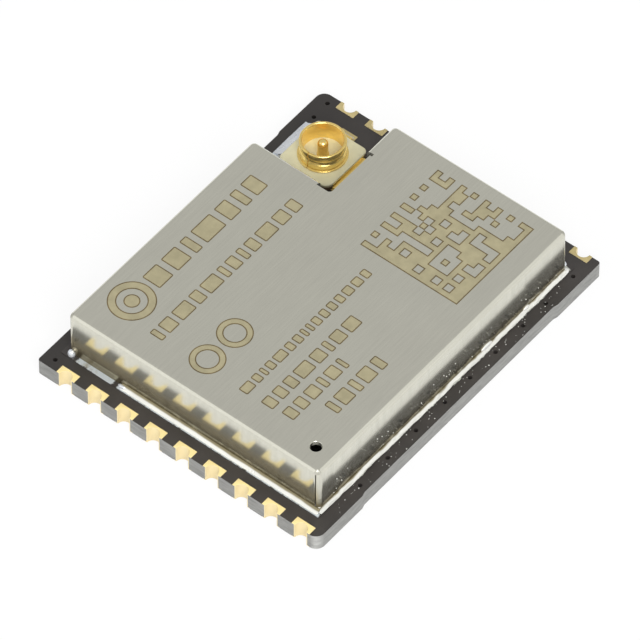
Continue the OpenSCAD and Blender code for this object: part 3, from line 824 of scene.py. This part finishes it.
class MODULE_OT_shield_can(bpy.types.Operator):
    """Folded shield can with its notch, tab, reliefs, slits and vent"""
    bl_idname = "module.shield_can"
    bl_label = "Shield Can"

    # How far the cutters reach outside the can, and down into its top
    PAST = 0.5
    INTO = 0.6
    # Shift of the slit at the near corner along each wall
    SHIFT = 0.06
    # Vent's flare as (lower and upper radius beyond the vent, depth, middle above the top)
    FLARE = (-0.02, 0.08, 0.1, 0.015)
    # Sideways run under which an edge is upright, and distance that merges the cut can's points
    UPRIGHT = 0.2
    MERGE = 0.008

    def execute(self, context):
        looks = values_of(context.scene.module_shield)
        x0, y0, z0 = CAN_LOW
        x1, y1, z1 = CAN_HIGH
        notch_x, notch_y, _ = notch_corner(looks)
        can = plate("shield", (x0, y0), (x1, y1), z1)
        edit(can)
        for place, normal in (((notch_x, 0, 0), (1, 0, 0)), ((0, notch_y, 0), (0, 1, 0))):
            bpy.ops.mesh.select_all(action="SELECT")
            bpy.ops.mesh.bisect(plane_co=place, plane_no=normal, threshold=FINE)

        def in_notch(face):
            middle = face.calc_center_median()
            return middle.x > notch_x and middle.y > notch_y

        pick(can, "FACE", in_notch)
        bpy.ops.mesh.delete(type="FACE")
        bpy.ops.mesh.select_all(action="SELECT")
        bpy.ops.mesh.dissolve_limited(angle_limit=math.radians(1))
        bpy.ops.mesh.select_all(action="SELECT")
        bpy.ops.mesh.extrude_region_move(TRANSFORM_OT_translate={"value": (0, 0, z0 - z1)})
        bpy.ops.mesh.delete(type="ONLY_FACE")
        outward(can)

        def folded(edge):
            a, b = (v.co for v in edge.verts)
            if abs(a.z - z1) < NEAR and abs(b.z - z1) < NEAR:
                return True
            upright = max(abs(a.x - b.x), abs(a.y - b.y)) < self.UPRIGHT
            inner = max(abs(a.x - notch_x), abs(a.y - notch_y)) < NEAR
            return upright and not inner

        for axis, low, move in (("x", x0, (looks.lean, 0, 0)), ("y", y0, (0, -looks.spread, 0))):
            pick(can, "VERT", lambda v: getattr(v.co, axis) < low + NEAR and v.co.z < z0 + NEAR)
            bpy.ops.transform.translate(value=move)
        round_off(can, folded, looks.bend, offset_type="OFFSET", profile=0.5)
        modify(can, "SOLIDIFY", thickness=looks.sheet, offset=-1, use_even_offset=True)
        combine(can, self.cutters(looks), "DIFFERENCE")
        outward(can, self.MERGE)
        smooth(can, 32)
        modify(can, "WEIGHTED_NORMAL", weight=100, keep_sharp=True)
        finish_piece(can, "shield_sheet", "shield_can")
        return {"FINISHED"}

    def cutters(self, looks):
        """Solids to take out of the folded blank."""
        x0, y0, z0 = CAN_LOW
        x1, y1, z1 = CAN_HIGH
        notch_x, notch_y, tab_x = notch_corner(looks)
        bend_x, bend_y = notch_x - looks.bend, notch_y - looks.bend
        under, over, into = z0 - self.PAST, z1 + self.PAST, z1 - self.INTO
        opening = block("opening", (bend_x, bend_y, under), (tab_x, bend_y + looks.relief, over))

        def inner(edge):
            return all(v.co.x < bend_x + 0.01 and v.co.y < bend_y + 0.01 for v in edge.verts)

        round_off(opening, inner, looks.notch_r, 8)
        relief = block(
            "relief", (tab_x - looks.tab_relief, bend_y - 0.1, into), (tab_x, bend_y + 0.1, over))
        vent_x, vent_y, vent_r = x0 + looks.vent_x, y0 + looks.vent_y, looks.vent_d / 2
        vent = rod("vent", vent_x, vent_y, into, over, vent_r)
        clear()
        lower, upper, depth, middle = self.FLARE
        bpy.ops.mesh.primitive_cone_add(
            vertices=64, radius1=vent_r + lower, radius2=vent_r + upper, depth=depth,
            location=(vent_x, vent_y, z1 + middle))
        found = [opening, relief, vent, added("flare")]
        for x, y, turn in (
                (x1, notch_y, 45), (notch_x, y1, 45), (x0, y1, 135),
                (x0 - self.SHIFT, y0 + self.SHIFT, 225), (x1, y0, 315)):
            found.append(block(
                "slit", (x - self.PAST, y - looks.slit / 2, under),
                (x + self.PAST, y + looks.slit / 2, z1 - looks.slit_drop), turn))
        return found


# How far a bead reaches into the wall and into the board, and length of its pieces
IN_WALL = 0.05
IN_BOARD = 0.01
PIECE = 0.09


def bead(start, heading, size, looks, seed, calm=1.0, grain=1.0):
    """An uneven solder fillet: its start, heading in degrees, and length, width and height."""
    run, wide, high = size
    bar = block("bead", (0, -IN_WALL, -IN_BOARD), (run, wide, wide))
    round_off(
        bar, lambda e: all(v.co.y > wide - NEAR and v.co.z > wide - NEAR for v in e.verts),
        0.95 * wide, profile=0.2)
    bpy.ops.mesh.select_all(action="SELECT")
    bpy.ops.transform.resize(value=(1, 1, high / wide), center_override=(0, 0, 0))
    pick(bar, "EDGE", lambda e: abs(e.verts[0].co.x - e.verts[1].co.x) > 0.9 * run)
    bpy.ops.mesh.subdivide(number_cuts=max(4, int(run / PIECE)))
    clear()
    bar.rotation_euler.z = math.radians(heading)
    bar.location = start
    settle(bar)
    # Broad waves, lumps and fine grain
    for strength, scale, shift in ((1.2, 2.4, 7), (0.9, 1.0, 0), (0.12, 0.3, 3)):
        uneven(bar, strength * looks.rough * calm, scale * grain * looks.grain, seed + shift)
    return modify(bar, "SUBSURF", levels=1, render_levels=1)


def blob(place, size, looks, seed):
    """A small lump of solder."""
    clear()
    bpy.ops.mesh.primitive_uv_sphere_add(
        segments=24, ring_count=14, radius=1, location=place, scale=size)
    return uneven(added("lump"), 0.5 * looks.rough, looks.grain, seed)


class MODULE_OT_shield_solder(bpy.types.Operator):
    """Solder seams round the foot of the can"""
    bl_idname = "module.shield_solder"
    bl_label = "Shield Solder"

    # Far end of the left bead, right end of the near beads, and where those two overlap
    LEFT_END = 3.7
    RIGHT_END = 7.72
    OVERLAP = (1.9, 2.4)

    def execute(self, context):
        looks, shield = (
            values_of(context.scene.module_solder), values_of(context.scene.module_shield))
        x0, y0, z0 = CAN_LOW
        x1, y1, _ = CAN_HIGH
        notch_x, notch_y, tab_x = notch_corner(shield)
        near_y, near_x, left_y = y0 - shield.spread, x0 - 0.06, y0 - 0.1
        low, high = self.OVERLAP
        plain, left, near = (1.0, 1.0), (0.8, 0.8), (0.65, 0.55)
        # Start, heading, length, share of the width and height, seed, unevenness and grain
        runs = (
            ((x0 + 0.35, y1), 0, notch_x - x0 - 0.8, plain, 2, 1.0, 1.0),
            ((x1, notch_y - 0.4), 270, notch_y - y0 - 0.8, plain, 3, 1.0, 1.0),
            ((tab_x + 0.15, notch_y), 0, shield.tab - 0.25, plain, 4, 0.8, 1.0),
            ((notch_x, y1 - 0.45), 270, y1 - notch_y - 1.1, plain, 5, 0.8, 1.0),
            ((x0, left_y), 90, self.LEFT_END - left_y, left, 11, 0.5, 1.0),
            ((self.RIGHT_END, near_y), 180, self.RIGHT_END - low, near, 21, 0.9, 0.45),
            ((high, near_y), 180, high - near_x, near, 22, 0.9, 0.45),
        )
        parts = []
        for start, heading, run, (wide, tall), seed, calm, grain in runs:
            seam = bead(
                (*start, z0), heading, (run, looks.width * wide, looks.height * tall), looks, seed,
                calm, grain)
            seam.data.materials.append(finish_of("seam_solder"))
            parts.append(seam)
        # Place, half sizes and finish of the lumps
        lumps = (
            ((x0 - 0.05, y1 - 0.2, z0 + 0.06), (0.16, 0.17, 0.2), "foot_solder"),
            ((x0 - 0.06, 3.62, z0 + 0.03), (0.11, 0.22, 0.11), "foot_solder"),
            ((self.RIGHT_END, y0 - 0.05, z0), (0.18, 0.13, 0.06), "solder_speck"),
            ((x0 + 0.12, y0 + 0.12, z0), (0.26, 0.26, 0.16), "solder_speck"),
            ((2.65, y0 - 0.05, z0 + 0.12), (0.34, 0.06, 0.14), "solder_speck"),
            ((5.2, y0 - 0.05, z0 + 0.1), (0.2, 0.06, 0.11), "solder_speck"),
            ((x1 + 0.1, y0 + 0.3, z0 + 0.02), (0.12, 0.2, 0.09), "foot_solder"),
        )
        for number, (place, size, finish) in enumerate(lumps):
            lump = blob(place, size, looks, 31 + number)
            lump.data.materials.append(finish_of(finish))
            parts.append(lump)
        solder = outward(joined("shield_seams", parts), FINE)
        smooth(solder, 60)
        finish_piece(solder, replaced="shield_solder")
        return {"FINISHED"}


class MODULE_OT_solder_specks(bpy.types.Operator):
    """Small solder specks beside the near seam, on the board and on the wall"""
    bl_idname = "module.solder_specks"
    bl_label = "Solder Specks"

    COUNT = 120
    # Reach along X either way, radii, and heights on the wall
    REACH = 7.4
    RADII = (0.01, 0.029)
    HEIGHTS = (0.25, 1.0)
    # Distance from the wall on the board: the least, the band's width and how specks crowd
    LEAST = 0.24
    BAND = 0.5
    CROWDING = 1.6

    def execute(self, context):
        draw = random.Random(11)
        y0, z0 = CAN_LOW.y, CAN_LOW.z
        spread = values_of(context.scene.module_shield).spread
        clear()
        bpy.ops.mesh.primitive_ico_sphere_add(
            subdivisions=1, radius=0.03, location=(-6, y0 - 0.5, BOARD_HIGH.z))
        specks = added("solder_specks")
        edit(specks)
        for number in range(self.COUNT):
            x, size = draw.uniform(-self.REACH, self.REACH), draw.uniform(*self.RADII)
            if number % 3:
                out = self.BAND * draw.random() ** self.CROWDING
                place = (x, y0 - self.LEAST - out, BOARD_HIGH.z)
            else:
                rise = draw.uniform(*self.HEIGHTS)
                place = (x, y0 - spread * (1 - rise / (CAN_HIGH.z - z0)), z0 + rise)
            bpy.ops.mesh.primitive_ico_sphere_add(
                subdivisions=1, radius=1, location=place,
                scale=(size, size * draw.uniform(0.6, 1.0), size * draw.uniform(0.5, 0.9)))
        smooth(specks, 80)
        finish_piece(specks, "solder_speck")
        return {"FINISHED"}


class MODULE_OT_marks(bpy.types.Operator):
    """Plain etched shapes on the can's top: dashes, rings and a block of square cells"""
    bl_idname = "module.marks"
    bl_label = "Etched Marks"

    # Rows of dashes as (first x, last x, middle y, height), with lengths and space by the height
    ROWS = (
        (-4.62, 2.40, 4.90, 0.92), (-6.62, 2.47, 3.00, 0.66), (-6.60, 1.45, -1.42, 0.46),
        (-6.55, -0.90, -2.58, 0.62), (-6.45, -2.90, -3.55, 0.62), (-5.10, -1.90, -4.65, 0.70),
    )
    LENGTHS = (0.45, 0.75, 0.95, 1.3)
    SPACE = 0.3
    # Round marks as (x, y, radius, radius of the hole)
    ROUNDS = (
        (-5.81, 4.89, 1.0, 0.62), (-5.81, 4.89, 0.34, 0), (-6.2, 0.7, 0.75, 0.45),
        (-4.5, 0.7, 0.75, 0.45),
    )
    # Square block as (low x, high x, low y, high y)
    BLOCK = (2.13, 7.10, -5.2, -0.3)

    def execute(self, context):
        looks = values_of(context.scene.module_marks)
        top = CAN_HIGH.z + looks.height
        pieces = [self.dashes(looks, top), self.rings(looks, top), self.cells(looks, top)]
        marks = joined("etched_marks", pieces)
        modify(marks, "SOLIDIFY", thickness=2 * looks.height, offset=-1)
        finish_piece(marks)
        return {"FINISHED"}

    def outline(self, obj, looks, separate):
        """A dark line round each field of the flat mesh obj."""
        for finish in ("mark_edge", "mark_fill"):
            obj.data.materials.append(finish_of(finish))
        edit(obj, action="SELECT")
        bpy.ops.mesh.inset(
            thickness=looks.outline, depth=0, use_boundary=True, use_even_offset=True,
            use_individual=separate)
        obj.active_material_index = 1
        bpy.ops.object.material_slot_assign()
        clear()
        return obj

    def dashes(self, looks, top):
        """Rows of dashes of different lengths."""
        draw = random.Random(5)
        spans = []
        for first, last, y, tall in self.ROWS:
            x, space = first, self.SPACE * tall
            while x < last - space:
                run = min(draw.choice(self.LENGTHS) * tall, last - x)
                spans.append((x, run, y, tall))
                x += run + space
        x, run, y, tall = spans[0]
        rows = plate("dashes", (x, y - tall / 2), (x + run, y + tall / 2), top)
        edit(rows)
        for x, run, y, tall in spans[1:]:
            middle = (x + run / 2, y, top)
            bpy.ops.mesh.primitive_plane_add(size=1, location=middle)
            bpy.ops.transform.resize(value=(run, tall, 1), center_override=middle)
        edit(rows, "VERT", "SELECT")
        bpy.ops.mesh.bevel(offset=looks.round, segments=3, affect="VERTICES", clamp_overlap=True)
        return self.outline(rows, looks, True)

    def rings(self, looks, top):
        """Round marks: a ring round a disc, and two plain rings."""
        parts = []
        for x, y, radius, hole in self.ROUNDS:
            clear()
            bpy.ops.mesh.primitive_circle_add(
                vertices=64, radius=radius, fill_type="NGON", location=(x, y, top))
            part = added("ring")
            if hole:
                edit(part, action="SELECT")
                bpy.ops.mesh.inset(thickness=radius - hole, depth=0)
                bpy.ops.mesh.delete(type="FACE")
            parts.append(part)
        return self.outline(joined("rings", parts), looks, False)

    def filled(self, count):
        """Etched cells of the square block, each with the number of its field."""
        last = count - 1
        draw = random.Random(8)
        cells = {(i, j) for i in range(1, last) for j in range(1, last) if draw.random() < 0.5}
        cells |= {(k, 0) for k in range(count)} | {(0, k) for k in range(count)}
        cells |= {(k, last) for k in range(0, count, 2)} | {(last, k) for k in range(1, count, 2)}
        # Fills a cell wherever a field would touch itself at a corner only
        while True:
            fields, touching = self.connected(cells), set()
            for i in range(last):
                for j in range(last):
                    pairs = (((i, j), (i + 1, j + 1)), ((i + 1, j), (i, j + 1)))
                    for empty, (a, b) in (pairs, pairs[::-1]):
                        if cells.isdisjoint(empty) and fields.get(a, -1) == fields.get(b, -2):
                            touching.add(empty[0])
            if not touching:
                return fields
            cells |= touching

    def connected(self, cells):
        """Numbers the fields of cells that share a side."""
        fields, number = {}, 0
        for start in sorted(cells):
            if start in fields:
                continue
            waiting = [start]
            while waiting:
                i, j = waiting.pop()
                if (i, j) in cells and (i, j) not in fields:
                    fields[i, j] = number
                    waiting += [(i + 1, j), (i - 1, j), (i, j + 1), (i, j - 1)]
            number += 1
        return fields

    def cells(self, looks, top):
        """A square block of cells, filled by a formula."""
        x0, x1, y0, y1 = self.BLOCK
        count = looks.cells
        cells = plate("cells", (x0, y0), (x1, y1), top, count)
        fields = self.filled(count)

        def field(face):
            middle = face.calc_center_median()
            i = int((middle.x - x0) / (x1 - x0) * count)
            j = int((middle.y - y0) / (y1 - y0) * count)
            return fields.get((i, j), -1)

        pick(cells, "FACE", lambda face: field(face) < 0)
        bpy.ops.mesh.delete(type="FACE")
        for number in range(max(fields.values()) + 1):
            pick(cells, "FACE", lambda face: field(face) == number)
            bpy.ops.mesh.split()
        return self.outline(cells, looks, False)


# Depth of the ring and the pin in the insulator block, and rounding of the feet's edges
SUNK = 0.1
FOOT_EDGE = 0.025


class MODULE_OT_socket_housing(bpy.types.Operator):
    """Insulator block of the aerial socket"""
    bl_idname = "module.socket_housing"
    bl_label = "Socket Block"

    def execute(self, context):
        looks = values_of(context.scene.module_socket)
        housing = block("socket_block", HOUSING_LOW, HOUSING_HIGH)
        inner = HOUSING_LOW.x + HOUSING_LOW.y + 0.01

        def upright(edge):
            return abs(edge.verts[0].co.z - edge.verts[1].co.z) > 0.1

        def reach(edge):
            return edge.verts[0].co.x + edge.verts[0].co.y

        round_off(housing, lambda e: upright(e) and reach(e) > inner, looks.corner)
        round_off(housing, lambda e: upright(e) and reach(e) < inner, looks.inner_corner)
        round_off(
            housing, lambda e: all(v.co.z > HOUSING_HIGH.z - NEAR for v in e.verts), 0.05, 4)
        smooth(housing, 40)
        finish_piece(housing, "cream_insulator", "socket_housing")
        return {"FINISHED"}


class MODULE_OT_socket_ring(bpy.types.Operator):
    """Gilt ring of the aerial socket with its flange, groove, lip, seam and ground feet"""
    bl_idname = "module.socket_ring"
    bl_label = "Socket Ring"

    # Step of the ring's foot in the block, and thickness of the bent plate at the near foot
    STEP = 0.02
    SHIN = 0.03

    def execute(self, context):
        looks = values_of(context.scene.module_socket)
        outer, rim = looks.ring_d / 2, looks.ring_t / 2
        inner, foot = outer - looks.ring_t, outer - self.STEP
        floor, top = HOUSING_HIGH.z, RING_HIGH.z
        flange, edge = looks.flange_d / 2, looks.flange_t / 2
        groove, tall = looks.groove, looks.groove_h
        middle = top - looks.lip - tall / 2
        hollow = (tall * tall / 4 + groove * groove) / (2 * groove)
        half = math.degrees(math.asin(tall / 2 / hollow))
        points = [(inner, floor - SUNK), (foot, floor - SUNK), (foot, floor)]
        points += [(flange - self.STEP, floor)] + arc(flange - edge, floor + edge, edge, -80, 80, 6)
        points += [(outer, floor + looks.flange_t + 0.01)]
        points += arc(outer + hollow - groove, middle, hollow, 180 + half, 180 - half, 12)
        points += arc(inner + rim, top - rim, rim, 0, 180, 10)
        points += [(inner, floor + 0.3)]
        ring = lathe("socket_ring", points, SOCKET_X, SOCKET_Y)
        seam = looks.seam / 2
        combine(ring, [block(
            "seam", (SOCKET_X - 1.5, SOCKET_Y - seam, floor - 0.5),
            (SOCKET_X - 0.5, SOCKET_Y + seam, top + 0.5))], "DIFFERENCE")
        left, right, base = SOCKET_X - looks.foot_l / 2, SOCKET_X + looks.foot_l / 2, RING_LOW.z
        feet = []
        for side, reach in ((1, RING_HIGH.y), (-1, RING_LOW.y)):
            near, far = sorted((SOCKET_Y + side * inner, reach))
            feet.append(soften(
                block("foot", (left, near, base), (right, far, base + looks.foot_t)), FOOT_EDGE, 3))
        shin = block(
            "shin", (left + 0.02, HOUSING_LOW.y - self.SHIN, base + 0.02),
            (right - 0.02, HOUSING_LOW.y, floor - 0.06))
        feet.append(soften(shin, 0.01))
        ring = joined("socket_ring", [ring] + feet)
        smooth(ring, 40)
        finish_piece(ring, "socket_gilt", "socket_shell")
        return {"FINISHED"}


class MODULE_OT_socket_contact(bpy.types.Operator):
    """Gilt centre pin and its signal foot"""
    bl_idname = "module.socket_contact"
    bl_label = "Socket Contact"

    # The pin's collar as steps of (radius beyond the pin, height over the block)
    COLLAR = ((0.03, -SUNK), (0.03, 0.01), (0.01, 0.03), (0.0, 0.08))

    def execute(self, context):
        looks = values_of(context.scene.module_socket)
        radius, floor, half = looks.pin_d / 2, HOUSING_HIGH.z, looks.signal_w / 2
        points = [(0, floor - SUNK)] + [(radius + r, floor + z) for r, z in self.COLLAR]
        points += arc(0, PIN_HIGH.z - radius, radius, 0, 90, 12)
        pin = lathe("socket_contact", points, SOCKET_X, SOCKET_Y, 64)
        foot = block(
            "foot", (SOCKET_X, SOCKET_Y - half, PIN_LOW.z),
            (PIN_HIGH.x, SOCKET_Y + half, PIN_LOW.z + looks.foot_t))
        contact = joined("socket_contact", [pin, soften(foot, FOOT_EDGE, 3)])
        smooth(contact, 40)
        finish_piece(contact, "socket_gilt", "socket_contact")
        return {"FINISHED"}


class MODULE_OT_socket_solder(bpy.types.Operator):
    """Solder on the socket's feet"""
    bl_idname = "module.socket_solder"
    bl_label = "Socket Solder"

    def execute(self, context):
        looks = values_of(context.scene.module_solder)
        run = values_of(context.scene.module_socket).foot_l
        base, far, near = PIN_LOW.z, HOUSING_HIGH.y, 2 * SOCKET_Y - RING_HIGH.y
        left, right = SOCKET_X - run / 2, SOCKET_X + run / 2
        # Start, heading, size, seed and unevenness at the far, near and signal foot
        seams = [bead((*start, base), *values[:2], looks, *values[2:]) for start, *values in (
            ((left - 0.05, far), 0, (run + 0.1, 0.48, 0.29), 41, 0.35),
            ((right, near), 180, (run, 0.2, 0.1), 42, 0.5),
            ((PIN_HIGH.x, SOCKET_Y + 0.33), 270, (0.66, 0.1, 0.07), 43, 0.3))]
        solder = outward(joined("socket_seams", seams), FINE)
        smooth(solder, 60)
        finish_piece(solder, "foot_solder", "socket_solder")
        return {"FINISHED"}


class MODULE_OT_inner_parts(bpy.types.Operator):
    """Finishes of the solids that are kept: lands, chips, crystal and small components"""
    bl_idname = "module.inner_parts"
    bl_label = "Inner Parts"

    KEPT = {
        "ground_pad": "pad_gold", "shield_land": "tinned_land", "socket_lands": "socket_land",
        "radio_chip_body": "chip_black", "radio_chip_leads": "lead_tin",
        "memory_chip_body": "chip_black", "memory_chip_leads": "lead_tin",
        "crystal_base": "dark_ceramic", "crystal_lid": "lid_metal",
        "capacitor_bodies": "tan_ceramic", "capacitor_ends": "lead_tin",
        "resistor_bodies": "black_ceramic", "resistor_ends": "lead_tin",
        "inductor_bodies": "pale_ceramic", "inductor_ends": "lead_tin",
    }

    def execute(self, context):
        for node, finish in self.KEPT.items():
            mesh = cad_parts[node].data
            mesh.materials.clear()
            mesh.materials.append(finish_of(finish))
        return {"FINISHED"}


class MODULE_OT_stage(bpy.types.Operator):
    """White floor, soft lamps and the camera"""
    bl_idname = "module.stage"
    bl_label = "Stage"

    # Lamps as (name of their power too, place and diameter in metres)
    LAMPS = (
        ("key", (-0.2, -0.225, 0.335), 0.3), ("front", (0.195, -0.312, 0.157), 0.36),
        ("side", (-0.31, 0.157, 0.195), 0.4),
    )
    # How far the floor lies below the board, and its share of white for the camera and mirrors
    BELOW = 0.03 * MM
    WHITE = 0.86

    def execute(self, context):
        looks = context.scene.module_stage
        self.floor(looks)
        self.light(context, looks)
        self.camera(context, looks)
        context.scene.view_settings.view_transform = "Standard"
        return {"FINISHED"}

    def floor(self, looks):
        """A plain floor that keeps the shadow and looks nearly white."""
        clear()
        bpy.ops.mesh.primitive_plane_add(size=looks.floor, location=(0, 0, -self.BELOW))
        floor = added("floor")
        nodes = Nodes("floor", tuple(looks.backdrop), 0.0, 0.9)
        nodes.drive("Specular IOR Level", 0.0)
        path, glow = nodes.node("ShaderNodeLightPath"), nodes.node("ShaderNodeEmission")
        seen = path.outputs["Is Camera Ray"]
        for ray in ("Is Glossy Ray", "Is Transmission Ray"):
            seen = nodes.maths("MAXIMUM", seen, path.outputs[ray])
        mix = nodes.node("ShaderNodeMixShader", {
            "Fac": nodes.maths("MULTIPLY", seen, self.WHITE), 1: nodes.shader.outputs[0],
            2: glow.outputs[0]})
        nodes.feed(nodes.tree.nodes["Material Output"], {"Surface": mix.outputs[0]})
        floor.data.materials.append(nodes.material)

    def light(self, context, looks):
        """Even light all round and three round lamps."""
        world = bpy.data.worlds.new("surround")
        world.use_nodes = True
        sky = world.node_tree.nodes["Background"]
        sky.inputs["Color"].default_value = (1, 1, 1, 1)
        sky.inputs["Strength"].default_value = looks.sky
        context.scene.world = world
        for name, place, size in self.LAMPS:
            clear()
            bpy.ops.object.light_add(type="AREA", location=place)
            lamp = named(name)
            lamp.data.shape = "DISK"
            lamp.data.size = size
            lamp.data.energy = getattr(looks, name)
            lamp.rotation_euler = Vector(place).to_track_quat("Z", "Y").to_euler()
            lamp.visible_camera = False

    def camera(self, context, looks):
        """The camera at the photo's angle."""
        turn, rise = looks.azimuth, looks.elevation
        back = Vector((
            math.sin(turn) * math.cos(rise), -math.cos(turn) * math.cos(rise), math.sin(rise)))
        side = Vector((0, 0, 1)).cross(back).normalized()
        over = back.cross(side)
        c, s = math.cos(looks.roll), math.sin(looks.roll)
        side, over = c * side + s * over, c * over - s * side
        aim = Vector((0, looks.row_y, 0)) + looks.aim_right * side + looks.aim_up * over
        place = aim + looks.distance * back
        clear()
        bpy.ops.object.camera_add()
        camera = named("camera")
        camera.data.sensor_width = 36
        camera.data.lens = looks.lens
        camera.data.clip_start = 0.01
        camera.matrix_world = (
            Matrix.Translation(place) @ Matrix((side, over, back)).transposed().to_4x4())
        context.scene.camera = camera


OPERATORS = (
    MODULE_OT_board, MODULE_OT_edge_pads, MODULE_OT_shield_can, MODULE_OT_shield_solder,
    MODULE_OT_solder_specks, MODULE_OT_marks, MODULE_OT_socket_housing, MODULE_OT_socket_ring,
    MODULE_OT_socket_contact, MODULE_OT_socket_solder, MODULE_OT_inner_parts, MODULE_OT_stage,
)


class MODULE_PT_sidebar(bpy.types.Panel):
    """Lists the module's pieces and their sizes and colours"""
    bl_idname = "MODULE_PT_sidebar"
    bl_label = "Wireless Module"
    bl_space_type = "VIEW_3D"
    bl_region_type = "UI"
    bl_category = "Module"

    def draw(self, context):
        for operator in OPERATORS:
            self.layout.operator(operator.bl_idname)
        for name, group in GROUPS.items():
            box = self.layout.box()
            box.label(text=group.__doc__)
            for prop in group.__annotations__:
                box.prop(getattr(context.scene, name), prop)


CLASSES = (*GROUPS.values(), *OPERATORS, MODULE_PT_sidebar)


def register():
    """Registers the classes and hangs the property groups on the scene."""
    for item in CLASSES:
        bpy.utils.register_class(item)
    for name, group in GROUPS.items():
        setattr(bpy.types.Scene, name, PointerProperty(type=group))


def unregister():
    """Takes the property groups and the classes away again."""
    for name in GROUPS:
        delattr(bpy.types.Scene, name)
    for item in reversed(CLASSES):
        bpy.utils.unregister_class(item)


def main():
    """Builds every piece in order."""
    register()
    for operator in OPERATORS:
        group, name = operator.bl_idname.split(".")
        getattr(getattr(bpy.ops, group), name)()


if __name__ == "__main__":
    main()
